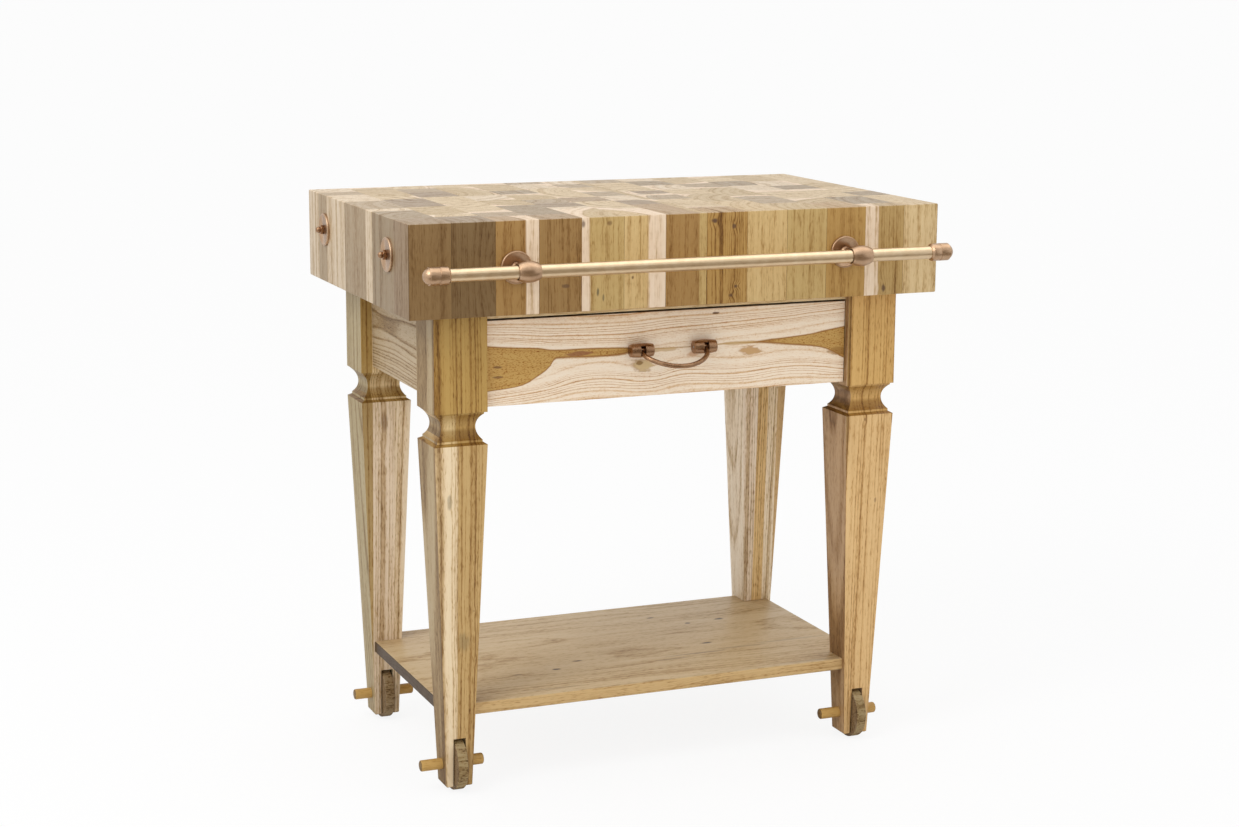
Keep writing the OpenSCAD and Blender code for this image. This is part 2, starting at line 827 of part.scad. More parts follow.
// A joint in the rod, whose axis lies along the rod at an angle from the Y axis
module bail_joint(turn) {
    rotate([0, 0, turn]) rotate([90, 0, 0]) sphere(r = bail_d / 2 + bail_braze, $fn = small);
}

module pull_bail() {
    half = pull_span / 2;
    color(copper) placed() translate([-pull_shift, pull_y, pull_z]) rotate([-bail_rest, 0, 0])
        rotate([-90, 0, 0]) difference() {
            union() {
                translate([0, bail_reach - bail_bow_r, 0])
                    bail_arc(bail_bow_r, 90 - bail_bend, 2 * bail_bend);
                for (sx = [-1, 1]) side(sx) {
                    translate([-half + bail_corner, bail_leg, 0])
                        bail_arc(bail_corner, 90 + bail_bend, 90 - bail_bend);
                    translate([-half, eye_r - 1, 0]) rotate([-90, 0, 0])
                        cylinder(r = bail_d / 2, h = bail_leg - eye_r + 1, $fn = small);
                    translate([-half, 0, 0]) rod_x(eye_r, eye_w);
                    translate([-half, bail_leg, 0]) bail_joint(0);
                    translate([
                        -half + bail_corner * (1 - sin(bail_bend)),
                        bail_leg + bail_corner * cos(bail_bend), 0
                    ]) bail_joint(90 + bail_bend);
                }
            }
            rod_x(pull_pin_d / 2 + running_gap, pull_span + 2 * bail_d);
        }
}

// Wheels and pegs

module wheel(sx, sy) {
    color(wood_end) placed() at_legs(sx, sy) translate([0, 0, axle_z]) difference() {
        eased_rod_x(wheel_d / 2, wheel_w, wheel_ease, fine);
        rod_x(peg_d / 2 + running_gap, wheel_w + 2 * over);
    }
}

module wheel_peg(sx, sy) {
    shift = sy < 0 ? -peg_shift : 0;
    color(wood_gold) placed() at_legs(sx, sy) translate([shift, 0, axle_z])
        eased_rod_x(peg_d / 2, peg_l, peg_ease);
}

// Copper rail

module rail_bore() {
    rod_x(rail_d / 2 + set_gap, rail_l);
}

module towel_rail() {
    tube_l = rail_l - 2 * cap_floor;
    color(copper) placed() translate([0, rail_y, rail_z]) difference() {
        rod_x(rail_d / 2, tube_l, fine);
        rod_x(rail_d / 2 - rail_wall, tube_l + 2 * over, fine);
    }
}

module rail_cap(sx) {
    half = cap_d / 2;
    color(copper) placed() translate([sx * (rail_l / 2 - cap_l), rail_y, rail_z])
        rotate([0, sx * 90, 0]) rotate_extrude($fn = fine) difference() {
            union() {
                polygon([
                    [0, 0], [half - cap_chamfer, 0], [half, cap_chamfer], [half, cap_end - cap_round],
                    [half - cap_round, cap_end - cap_round], [half - cap_round, cap_end], [0, cap_end]
                ]);
                translate([half - cap_round, cap_end - cap_round])
                    circle(r = cap_round, $fn = small);
                intersection() {
                    translate([0, cap_l - cap_dome_r]) circle(r = cap_dome_r, $fn = fine);
                    translate([0, cap_end - over]) square([cap_foot_r, cap_dome + over]);
                }
            }
            translate([half, cap_l - cap_head_l]) circle(r = cap_groove, $fn = small);
            translate([0, -over]) square([rail_d / 2 + set_gap, cap_l - cap_floor + over]);
        }
}

module rail_bracket(sx) {
    neck_y = barrel_d / 2 - barrel_sink;
    color(copper) placed() translate([sx * bracket_span / 2, rail_y, rail_z]) difference() {
        union() {
            barrel_x(barrel_d / 2, barrel_end_r, barrel_l);
            rotate([-90, 0, 0]) rotate_extrude($fn = small) polygon([
                [0, 0], [flare_d / 2, 0], [flare_d / 2, neck_y],
                [stem_d / 2, neck_y + flare_l], [stem_d / 2, bracket_seat - flare_l],
                [flare_d / 2, bracket_seat - flare_edge], [flare_d / 2, bracket_seat], [0, bracket_seat]
            ]);
        }
        rail_bore();
        for (turn = [-1, 1])
            translate([turn * (barrel_l - mouth_l) / 2, 0, 0]) rod_x(mouth_r, mouth_l + over);
        translate([0, barrel_d / 2 + stud_floor, 0]) rotate([-90, 0, 0])
            cylinder(r = stud_d / 2 + set_gap, h = rail_standoff, $fn = small);
        translate([0, 0, -barrel_d]) cylinder(r = grub_d / 2 + set_gap, h = barrel_d, $fn = small);
    }
}

module rail_rosette(sx) {
    color(copper) placed() translate([sx * bracket_span / 2, front_y, rail_z]) rotate([90, 0, 0])
        rimmed_disc(rosette_d, rosette_t, rosette_dish, stud_d / 2 + set_gap);
}

module rail_studs() {
    color(steel) placed() for (sx = [-1, 1])
        translate([sx * bracket_span / 2, front_y + stud_in_block, rail_z]) rotate([90, 0, 0])
            cylinder(r = stud_d / 2, h = stud_in_block + stud_top - glue_gap, $fn = small);
}

module rail_grub_screws() {
    from_z = rail_d / 2 + set_gap;
    grub_l = barrel_d / 2 - from_z - grub_sink;
    color(steel) placed() for (sx = [-1, 1])
        translate([sx * bracket_span / 2, rail_y, rail_z - from_z - grub_l]) difference() {
            cylinder(r = grub_d / 2, h = grub_l, $fn = small);
            translate([0, 0, -over]) cylinder(r = grub_socket_d / 2, h = over + grub_l / 2, $fn = 6);
        }
}

// Tie rods

module tie_rod(sy) {
    rod_l = block_l + 2 * washer_t + 2 * nut_h;
    color(steel) placed() translate([0, sy * tie_y, tie_z]) rod_x(tie_d / 2, rod_l);
}

module at_tie_ends() {
    for (sx = [-1, 1]) for (sy = [-1, 1])
        translate([sx * block_l / 2, sy * tie_y, tie_z]) rotate([0, sx * 90, 0]) children();
}

module tie_washers() {
    color(copper) placed() at_tie_ends()
        rimmed_disc(washer_d, washer_t, washer_dish, tie_d / 2 + set_gap);
}

module tie_nuts() {
    rod_end = washer_dish + nut_h + set_gap;
    color(copper) placed() at_tie_ends() translate([0, 0, nut_seat]) difference() {
        union() {
            intersection() {
                cylinder(r = nut_af / sqrt(3), h = nut_h, $fn = 6);
                cylinder(r1 = nut_af / 2 + nut_h, r2 = nut_af / 2, h = nut_h, $fn = small);
            }
            translate([0, 0, cap_nut_h - ball_d / 2]) sphere(r = ball_d / 2, $fn = small);
        }
        translate([0, 0, -over])
            cylinder(r = tie_d / 2 + set_gap, h = rod_end + over, $fn = small);
    }
}

block_slab(1);  // block_slab_1
block_slab(2);  // block_slab_2
block_slab(3);  // block_slab_3
block_slab(4);  // block_slab_4
block_slab(5);  // block_slab_5
block_slab(6);  // block_slab_6
block_slab(7);  // block_slab_7
block_slab(8);  // block_slab_8
block_slab(9);  // block_slab_9
block_slab(10);  // block_slab_10
block_slab(11);  // block_slab_11
block_slab(12);  // block_slab_12
block_slab(13);  // block_slab_13
color(wood_gold) leg(-1, -1);  // leg_front_left
color(wood_gold) leg(1, -1);  // leg_front_right
color(wood_gold) leg(-1, 1);  // leg_back_left
color(wood_gold) leg(1, 1);  // leg_back_right
apron_side(-1);  // apron_left
apron_side(1);  // apron_right
apron_back();
front_top_rail();
shelf();
top_cleat(-1);  // top_cleat_left
top_cleat(1);  // top_cleat_right
top_screws();
drawer_front();
drawer_side(-1);  // drawer_side_left
drawer_side(1);  // drawer_side_right
drawer_back();
drawer_bottom();
drawer_runner(-1);  // drawer_runner_left
drawer_runner(1);  // drawer_runner_right
runner_screws();
pull_knuckle(-1);  // pull_knuckle_left
pull_knuckle(1);  // pull_knuckle_right
pull_bail();
pull_pins();
pull_screws();
wheel(-1, -1);  // wheel_front_left
wheel(1, -1);  // wheel_front_right
wheel(-1, 1);  // wheel_back_left
wheel(1, 1);  // wheel_back_right
wheel_peg(-1, -1);  // wheel_peg_front_left
wheel_peg(1, -1);  // wheel_peg_front_right
wheel_peg(-1, 1);  // wheel_peg_back_left
wheel_peg(1, 1);  // wheel_peg_back_right
towel_rail();
rail_cap(-1);  // rail_cap_left
rail_cap(1);  // rail_cap_right
rail_bracket(-1);  // rail_bracket_left
rail_bracket(1);  // rail_bracket_right
rail_rosette(-1);  // rail_rosette_left
rail_rosette(1);  // rail_rosette_right
rail_studs();
rail_grub_screws();
tie_rod(-1);  // tie_rod_front
tie_rod(1);  // tie_rod_back
tie_washers();
tie_nuts();
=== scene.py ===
import json
import math
import random

import bmesh
import bpy
from mathutils import Matrix, Vector


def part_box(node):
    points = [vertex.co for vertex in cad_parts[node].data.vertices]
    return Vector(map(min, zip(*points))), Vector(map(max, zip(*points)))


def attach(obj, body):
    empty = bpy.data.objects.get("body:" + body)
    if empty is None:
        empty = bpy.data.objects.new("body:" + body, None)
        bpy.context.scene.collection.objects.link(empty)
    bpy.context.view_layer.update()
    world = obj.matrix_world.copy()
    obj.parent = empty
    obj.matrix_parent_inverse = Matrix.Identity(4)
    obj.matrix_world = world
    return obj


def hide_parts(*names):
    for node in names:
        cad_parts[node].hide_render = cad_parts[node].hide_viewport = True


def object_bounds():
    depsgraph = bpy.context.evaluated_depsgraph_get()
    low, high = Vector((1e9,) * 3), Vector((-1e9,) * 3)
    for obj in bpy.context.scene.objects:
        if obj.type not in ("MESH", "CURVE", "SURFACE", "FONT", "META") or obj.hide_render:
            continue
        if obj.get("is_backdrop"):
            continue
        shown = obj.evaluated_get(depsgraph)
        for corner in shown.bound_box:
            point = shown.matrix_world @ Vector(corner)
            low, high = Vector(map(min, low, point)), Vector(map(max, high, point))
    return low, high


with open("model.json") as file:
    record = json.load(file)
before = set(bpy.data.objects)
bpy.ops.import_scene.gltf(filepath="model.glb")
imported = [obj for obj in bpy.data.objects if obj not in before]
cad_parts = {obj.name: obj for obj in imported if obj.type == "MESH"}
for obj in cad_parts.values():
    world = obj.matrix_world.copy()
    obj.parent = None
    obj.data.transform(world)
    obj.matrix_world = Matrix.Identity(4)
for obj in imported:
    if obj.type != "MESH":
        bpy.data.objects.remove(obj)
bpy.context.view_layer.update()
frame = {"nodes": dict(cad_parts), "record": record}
mm = 0.001
bodyOf = {
    node: body
    for body, members in frame["record"]["behaviour"]["bodies"].items()
    for node in members
}


# Helpers for colour, nodes and meshes


def linearColor(code):
    parts = [int(code[i : i + 2], 16) / 255 for i in (1, 3, 5)]
    return [p / 12.92 if p <= 0.04045 else ((p + 0.055) / 1.055) ** 2.4 for p in parts] + [1.0]


def addNode(tree, kind, inputs=None, stops=None, curve=None, **settings):
    node = tree.nodes.new(kind)
    for name, value in settings.items():
        setattr(node, name, value)
    for name, value in (inputs or {}).items():
        if isinstance(value, bpy.types.Node):
            value = value.outputs[0]
        if isinstance(value, bpy.types.NodeSocket):
            tree.links.new(value, node.inputs[name])
        else:
            node.inputs[name].default_value = value
    if stops:
        elements = node.color_ramp.elements
        while len(elements) < len(stops):
            elements.new(0.5)
        for element, (place, shade) in zip(elements, stops):
            element.position = place
            element.color = linearColor(shade) if isinstance(shade, str) else (shade,) * 3 + (1.0,)
    if curve:
        points = node.mapping.curves[0].points
        while len(points) < len(curve):
            points.new(0.5, 0.5)
        for point, spot in zip(points, curve):
            point.location = spot
            point.handle_type = "AUTO_CLAMPED"
        node.mapping.update()
    return node


def newMaterial(name):
    material = bpy.data.materials.new(name)
    material.use_nodes = True
    material.node_tree.nodes.clear()
    return material, material.node_tree


def millimetres(tree):
    coords = addNode(tree, "ShaderNodeTexCoord")
    return addNode(
        tree, "ShaderNodeVectorMath",
        {0: coords.outputs["Object"], 1: (1000, 1000, 1000)}, operation="MULTIPLY",
    )


def copyOf(node, flatWithin=0.0):
    # a CAD solid as one connected mesh, with triangles joined that lie flat within some degrees
    bm = bmesh.new()
    bm.from_mesh(frame["nodes"][node].data)
    bmesh.ops.remove_doubles(bm, verts=bm.verts, dist=2e-6)
    if flatWithin:
        bmesh.ops.dissolve_limit(
            bm, angle_limit=math.radians(flatWithin), use_dissolve_boundaries=False,
            verts=bm.verts, edges=bm.edges,
        )
    return bm


def bevelEdges(bm, edges, width, segments, slide=False):
    bmesh.ops.bevel(
        bm, geom=edges, offset=width * mm, offset_type="OFFSET", segments=segments,
        profile=0.5, affect="EDGES", clamp_overlap=True, material=-1, loop_slide=slide,
    )


def easeEdges(bm, width, over=28):
    # rounds the convex edges that turn by more than an angle
    sharp = [
        e for e in bm.edges
        if e.is_manifold and e.is_convex and math.degrees(e.calc_face_angle(0)) > over
    ]
    bevelEdges(bm, sharp, width, 2, slide=True)


def cutAt(bm, places, axis):
    # splits the faces at planes across an axis, where boards are glued together
    normal = Vector([1.0 if i == axis else 0.0 for i in range(3)])
    for place in places:
        bmesh.ops.bisect_plane(
            bm, geom=bm.verts[:] + bm.edges[:] + bm.faces[:], dist=1e-7,
            plane_co=normal * place * mm, plane_no=normal,
        )


def mixed(first, second, share):
    # a tone part of the way from one colour to another, as linear light
    return [p + (q - p) * share for p, q in zip(linearColor(first), linearColor(second))]


def shaded(tone, by):
    # a tone darkened or tinted by another
    return [p * q for p, q in zip(linearColor(tone), linearColor(by))]


def facing(normal):
    # the direction that a face looks in, such as "x-"
    axis = max(range(3), key=lambda i: abs(normal[i]))
    return "xyz"[axis] + ("+" if normal[axis] > 0 else "-")


def stampBoards(bm, boardAt):
    # every face learns which board it is cut from: the board's heart, its tone and its own figure
    bm.normal_update()
    pith = bm.faces.layers.float_vector.new("pith")
    tone = bm.faces.layers.float_color.new("tone")
    figure = bm.faces.layers.float_vector.new("figure")
    for face in bm.faces:
        board = boardAt(face.calc_center_median() / mm, face.normal)
        shade = board["tone"]
        face[pith] = Vector(board["pith"])
        face[tone] = Vector(linearColor(shade) if isinstance(shade, str) else shade)
        face[figure] = Vector((board["figure"], board["ringWidth"], board["ringDepth"]))


def newPiece(bm, name, material):
    mesh = bpy.data.meshes.new(name)
    bm.to_mesh(mesh)
    bm.free()
    mesh.materials.append(material)
    piece = bpy.data.objects.new(name, mesh)
    bpy.context.scene.collection.objects.link(piece)
    return piece


def finishPiece(bm, name, material, node, smoothUnder=22):
    # the piece stands for a CAD node and moves with its body
    piece = newPiece(bm, name, material)
    piece.data.shade_smooth()
    piece.data.set_sharp_from_angle(angle=math.radians(smoothUnder))
    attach(piece, bodyOf[node])
    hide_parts(node)


# Wood: growth rings round a board's heart, cut through by its faces, so that the end grain and
# the long grain of one piece belong together. A size is across and along the grain. Fibres and
# pores are drawn several times coarser than the real 0.1 to 0.3 mm, so that they show.

grainOrders = {"x": "YZX", "y": "XZY", "z": "XYZ"}  # across, across, along the grain

plainWood = {
    "axis": "z",
    "wander": 5.0,  # how far the heart strays to each side of a straight line
    "wanderSize": (110.0, 420.0),
    "ripple": 3.0,  # how far a ring strays from a circle
    "rippleSize": (16.0, 130.0),
    "baseShade": 0.2,
    "bandDepth": 0.45,  # several rings together make a darker or a paler band
    "bandWidth": 13.0,
    "streakDepth": 0.5,
    "streakSize": (11.0, 340.0),
    "fibreDepth": 0.45,
    "fibreSize": (1.7, 60.0),
    "poreDepth": 0.75,
    "poreSize": (1.6, 11.0),
    "poreRange": (0.5, 0.74),  # the darker parts of the noise that count as pores
    "poreShares": (0.4, 0.12),  # how strong the pores are in heartwood and in sapwood
    "mottle": 0.32,
    "mottleSize": (5.0, 11.0),
    "unevenness": 6.5,  # by how many rings wide and narrow years shift the pattern
    "unevenWidth": 34.0,
    # depth of colour through one ring, from early to late wood
    "late": ((0.0, 0.4), (0.1, 0.0), (0.62, 0.06), (0.84, 0.7), (0.93, 1.0), (1.0, 0.4)),
    # what the shade does to the board's tone
    "grain": ((0.0, "#ffffff"), (0.28, "#f8f4ee"), (0.6, "#d2c2a8"), (1.0, "#8b7250")),
    "sap": "#ecd5b0",
    "sapFade": (-2.0, 1.5),  # from heartwood to sapwood, measured outwards
    "edgeLine": 0.2,  # strength of the dark line between them, then its place and width
    "edgeAt": -1.5,
    "edgeReach": (0.2, 1.7),
    "edgeTone": "#96622f",
    # end grain drinks more oil, and on the legs this darkening is also painted shade in the wheel
    # slot and on the carved neck: its tone, and its share on faces that look down, across and up
    "endTone": None,
    "endShares": ((0.1, 0.75), (0.4, 0.15), (0.52, 0.0), (0.62, 0.7), (0.85, 1.0)),
    "roughness": 0.41,
    "darkRoughness": 0.14,  # how much rougher the darkest grain is
    "sheen": 0.25,  # oil soaks in and leaves the wood nearly matt
    "bump": 0.25,
    "bumpHeight": 0.3,
    # place, half size, strength, how far it pushes the rings, and tone of each knot
    "knots": (),
    "knotRagged": (("ripple", 0.9), ("mottle", 0.7)),  # what frays a knot's outline
    "knotSwell": (0.4, 4.0),
    "knotEdge": (1.15, 1.75),
    "lens": None,
}
boardSpread = (3110.0, 1730.0, 970.0)  # how far apart two boards lie in the endless pattern
ringSpread = 397.0


def grainFields(tree, look, ownGrain):
    # soft noises, each drawn out along the grain to its own size
    fields = {}
    for name, (across, length), detail in (
        ("wander", look["wanderSize"], 1.5), ("ripple", look["rippleSize"], 2.0),
        ("streak", look["streakSize"], 3.0), ("fibre", look["fibreSize"], 2.0),
        ("pore", look["poreSize"], 1.0), ("mottle", look["mottleSize"], 3.0),
    ):
        drawnOut = addNode(
            tree, "ShaderNodeVectorMath", {0: ownGrain, 1: (1 / across, 1 / across, 1 / length)},
            operation="MULTIPLY",
        )
        fields[name] = addNode(
            tree, "ShaderNodeTexNoise", {"Vector": drawnOut, "Scale": 1.0, "Detail": detail}
        )
    return fields


def ringRadius(tree, look, grain, pith, fields):
    # the trunk isn't straight: its heart wanders slowly along the grain
    swing = look["wander"]
    drift = addNode(
        tree, "ShaderNodeVectorMath",
        {0: fields["wander"].outputs["Color"], 1: (2 * swing, 2 * swing, 0),
         2: (-swing, -swing, 0)},
        operation="MULTIPLY_ADD",
    )
    fromHeart = addNode(tree, "ShaderNodeVectorMath", {0: grain, 1: pith}, operation="SUBTRACT")
    drifted = addNode(tree, "ShaderNodeVectorMath", {0: fromHeart, 1: drift}, operation="ADD")
    flat = addNode(tree, "ShaderNodeVectorMath", {0: drifted, 1: (1, 1, 0)}, operation="MULTIPLY")
    radius = addNode(tree, "ShaderNodeVectorMath", {0: flat}, operation="LENGTH").outputs["Value"]
    return addNode(
        tree, "ShaderNodeMath",
        {0: fields["ripple"].outputs["Fac"], 1: look["ripple"], 2: radius},
        operation="MULTIPLY_ADD",
    )


def lensDistance(tree, place, lens, ripple, edges):
    # how far a point of the board's face lies outside a streak that runs along it, so told that
    # the lines of equal distance flatten towards the board's two long edges
    split = addNode(tree, "ShaderNodeSeparateXYZ", {0: place})
    along = addNode(
        tree, "ShaderNodeMapRange",
        {"Value": split.outputs["X"], "From Min": lens["left"], "From Max": lens["right"]},
    )
    height = addNode(
        tree, "ShaderNodeMath", {0: ripple, 1: lens["ripple"], 2: split.outputs["Z"]},
        operation="MULTIPLY_ADD",
    )
    up = addNode(
        tree, "ShaderNodeMapRange",
        {"Value": height, "From Min": lens["bottom"] + lens["ripple"] / 2,
         "From Max": lens["top"] + lens["ripple"] / 2},
        clamp=False,
    )
    outside = []
    for edge, limit in zip(edges, (1 + lens["spare"], -lens["spare"])):
        curve = addNode(tree, "ShaderNodeFloatCurve", {"Value": along.outputs[0]}, curve=lens[edge])
        gap = addNode(tree, "ShaderNodeMath", {0: up, 1: curve}, operation="SUBTRACT")
        room = addNode(tree, "ShaderNodeMath", {0: limit, 1: curve}, operation="SUBTRACT")
        share = addNode(tree, "ShaderNodeMath", {0: gap, 1: room}, operation="DIVIDE")
        outside.append(
            addNode(tree, "ShaderNodeMath", {0: share, 1: lens["reach"]}, operation="MULTIPLY")
        )
    return addNode(tree, "ShaderNodeMath", {0: outside[0], 1: outside[1]}, operation="MAXIMUM")


def pushByKnots(tree, look, place, radius, fields):
    # the rings bulge round each knot, and its core has its own tone
    cores = []
    for spot, size, depth, bulge, coreTone in look["knots"]:
        away = addNode(tree, "ShaderNodeVectorMath", {0: place, 1: spot}, operation="SUBTRACT")
        squeeze = tuple(1 / s for s in size)
        reach = addNode(tree, "ShaderNodeVectorMath", {0: away, 1: squeeze}, operation="MULTIPLY")
        reach = addNode(
            tree, "ShaderNodeVectorMath", {0: reach}, operation="LENGTH"
        ).outputs["Value"]
        for name, strength in look["knotRagged"]:
            reach = addNode(
                tree, "ShaderNodeMath", {0: fields[name].outputs["Fac"], 1: strength, 2: reach},
                operation="MULTIPLY_ADD",
            )
        if bulge:
            swell = addNode(
                tree, "ShaderNodeMapRange",
                {"Value": reach, "From Min": look["knotSwell"][0],
                 "From Max": look["knotSwell"][1], "To Min": 1.0, "To Max": 0.0},
                interpolation_type="SMOOTHERSTEP",
            )
            radius = addNode(
                tree, "ShaderNodeMath", {0: swell, 1: bulge, 2: radius}, operation="MULTIPLY_ADD"
            )
        core = addNode(
            tree, "ShaderNodeMapRange",
            {"Value": reach, "From Min": look["knotEdge"][0], "From Max": look["knotEdge"][1],
             "To Min": depth, "To Max": 0.0},
            interpolation_type="SMOOTHSTEP",
        )
        cores.append((core, coreTone))
    return radius, cores


def ringPattern(tree, look, figure, radius):
    # rings of uneven width, with a dark line of late wood at the end of each, and their bands
    ownRadius = addNode(
        tree, "ShaderNodeMath", {0: figure.outputs[0], 1: ringSpread, 2: radius},
        operation="MULTIPLY_ADD",
    )
    slowNoises = []
    for width, detail in ((look["unevenWidth"], 1.0), (look["bandWidth"], 1.5)):
        scaled = addNode(tree, "ShaderNodeMath", {0: ownRadius, 1: 1 / width}, operation="MULTIPLY")
        slowNoises.append(addNode(
            tree, "ShaderNodeTexNoise", {"W": scaled, "Scale": 1.0, "Detail": detail},
            noise_dimensions="1D",
        ))
    uneven, band = slowNoises
    turns = addNode(
        tree, "ShaderNodeMath", {0: radius, 1: figure.outputs[1]}, operation="DIVIDE"
    )
    turns = addNode(
        tree, "ShaderNodeMath", {0: uneven.outputs["Fac"], 1: look["unevenness"], 2: turns},
        operation="MULTIPLY_ADD",
    )
    ring = addNode(tree, "ShaderNodeMath", {0: turns}, operation="FRACT")
    late = addNode(tree, "ShaderNodeValToRGB", {0: ring}, stops=look["late"])
    return late.outputs["Color"], band.outputs["Fac"]


def woodMaterial(name, **changes):
    look = {**plainWood, **changes}
    lens = look["lens"]
    material, tree = newMaterial(name)
    place = millimetres(tree)
    split = addNode(tree, "ShaderNodeSeparateXYZ", {0: place})
    order = grainOrders[look["axis"]]
    grain = addNode(
        tree, "ShaderNodeCombineXYZ", {i: split.outputs[axis] for i, axis in enumerate(order)}
    )
    pith = addNode(tree, "ShaderNodeAttribute", attribute_name="pith").outputs["Vector"]
    tone = addNode(tree, "ShaderNodeAttribute", attribute_name="tone").outputs["Color"]
    figure = addNode(tree, "ShaderNodeAttribute", attribute_name="figure").outputs["Vector"]
    figure = addNode(tree, "ShaderNodeSeparateXYZ", {0: figure})
    seed = addNode(
        tree, "ShaderNodeVectorMath", {0: boardSpread, "Scale": figure.outputs[0]},
        operation="SCALE",
    )
    ownGrain = addNode(tree, "ShaderNodeVectorMath", {0: grain, 1: seed}, operation="ADD")
    fields = grainFields(tree, look, ownGrain)
    radius = ringRadius(tree, look, grain, pith, fields)
    sapRadius = addNode(tree, "ShaderNodeSeparateXYZ", {0: pith}).outputs[2]
    if lens:
        past, lines = (
            lensDistance(tree, place, lens, fields["ripple"].outputs["Fac"], edges)
            for edges in (("upper", "lower"), ("upperLines", "lowerLines"))
        )
        radius = addNode(tree, "ShaderNodeMath", {0: lines, 1: sapRadius}, operation="ADD")
    radius, cores = pushByKnots(tree, look, place, radius, fields)
    late, band = ringPattern(tree, look, figure, radius)
    lateDepth = figure.outputs[2]
    if lens:
        lateDepth = addNode(
            tree, "ShaderNodeMapRange",
            {"Value": lines, "From Min": -lens["lineFade"], "From Max": lens["lineFade"],
             "To Min": lens["heartRings"], "To Max": lateDepth},
        )
    else:
        past = addNode(tree, "ShaderNodeMath", {0: radius, 1: sapRadius}, operation="SUBTRACT")

    # what darkens the wood: late wood, bands, streaks, fibres, blotches and pores
    shade = addNode(
        tree, "ShaderNodeMath", {0: late, 1: lateDepth, 2: look["baseShade"]},
        operation="MULTIPLY_ADD",
    )
    for source, depth in (
        (band, look["bandDepth"]),
        (fields["streak"].outputs["Fac"], look["streakDepth"]),
        (fields["fibre"].outputs["Fac"], look["fibreDepth"]),
        (fields["mottle"].outputs["Fac"], look["mottle"]),
    ):
        shifted = addNode(
            tree, "ShaderNodeMath", {0: source, 1: depth, 2: -depth / 2}, operation="MULTIPLY_ADD"
        )
        shade = addNode(tree, "ShaderNodeMath", {0: shade, 1: shifted}, operation="ADD")
    pores = addNode(
        tree, "ShaderNodeMapRange",
        {"Value": fields["pore"].outputs["Fac"], "From Min": look["poreRange"][0],
         "From Max": look["poreRange"][1]},
        interpolation_type="SMOOTHSTEP",
    )
    fade = {"Value": past, "From Min": look["sapFade"][0], "From Max": look["sapFade"][1]}
    inHeart, inSap = (look["poreDepth"] * share for share in look["poreShares"])
    poreShare = addNode(tree, "ShaderNodeMapRange", {**fade, "To Min": inHeart, "To Max": inSap})
    shade = addNode(
        tree, "ShaderNodeMath", {0: pores, 1: poreShare, 2: shade}, operation="MULTIPLY_ADD"
    )
    darken = addNode(tree, "ShaderNodeValToRGB", {0: shade}, stops=look["grain"])

    # sapwood outside the heartwood, with a thin dark line between them
    sapwood = addNode(tree, "ShaderNodeMapRange", fade, interpolation_type="SMOOTHSTEP")
    body = addNode(
        tree, "ShaderNodeMix", {0: sapwood, 6: tone, 7: linearColor(look["sap"])}, data_type="RGBA"
    )
    color = addNode(
        tree, "ShaderNodeMix", {0: 1.0, 6: body.outputs[2], 7: darken.outputs["Color"]},
        data_type="RGBA", blend_type="MULTIPLY",
    ).outputs[2]
    fromEdge = addNode(
        tree, "ShaderNodeMath", {0: past, 1: look["edgeAt"]}, operation="SUBTRACT"
    )
    fromEdge = addNode(tree, "ShaderNodeMath", {0: fromEdge}, operation="ABSOLUTE")
    nearEdge = addNode(
        tree, "ShaderNodeMapRange",
        {"Value": fromEdge, "From Min": look["edgeReach"][0], "From Max": look["edgeReach"][1],
         "To Min": look["edgeLine"], "To Max": 0.0},
    )
    for share, stain in ((nearEdge, look["edgeTone"]), *cores):
        color = addNode(
            tree, "ShaderNodeMix", {0: share, 6: color, 7: linearColor(stain)}, data_type="RGBA"
        ).outputs[2]
    # faces darkened by the way they look: end grain, and on the legs also painted shade
    if look["endTone"]:
        upright = addNode(tree, "ShaderNodeTexCoord").outputs["Normal"]
        upright = addNode(tree, "ShaderNodeSeparateXYZ", {0: upright}).outputs["Z"]
        upright = addNode(
            tree, "ShaderNodeMath", {0: upright, 1: 0.5, 2: 0.5}, operation="MULTIPLY_ADD"
        )
        oiled = addNode(tree, "ShaderNodeValToRGB", {0: upright}, stops=look["endShares"])
        color = addNode(
            tree, "ShaderNodeMix", {0: oiled, 6: color, 7: linearColor(look["endTone"])},
            data_type="RGBA", blend_type="MULTIPLY",
        ).outputs[2]

    height = addNode(tree, "ShaderNodeMath", {0: shade, 1: -1.0}, operation="MULTIPLY")
    relief = addNode(
        tree, "ShaderNodeBump",
        {"Height": height, "Strength": look["bump"], "Distance": look["bumpHeight"] * mm},
    )
    gloss = addNode(
        tree, "ShaderNodeMath", {0: shade, 1: look["darkRoughness"], 2: look["roughness"]},
        operation="MULTIPLY_ADD",
    )
    surface = addNode(
        tree, "ShaderNodeBsdfPrincipled",
        {"Base Color": color, "Roughness": gloss, "Normal": relief, "IOR": 1.5,
         "Specular IOR Level": look["sheen"]},
    )
    addNode(tree, "ShaderNodeOutputMaterial", {"Surface": surface})
    return material


# Metals: clouds of tarnish under fine tool marks. On copper the marks are drawn 0.6 to 0.8 mm
# wide, coarser than the real 0.1 mm, so that they show. Tones go from tarnished to bright.

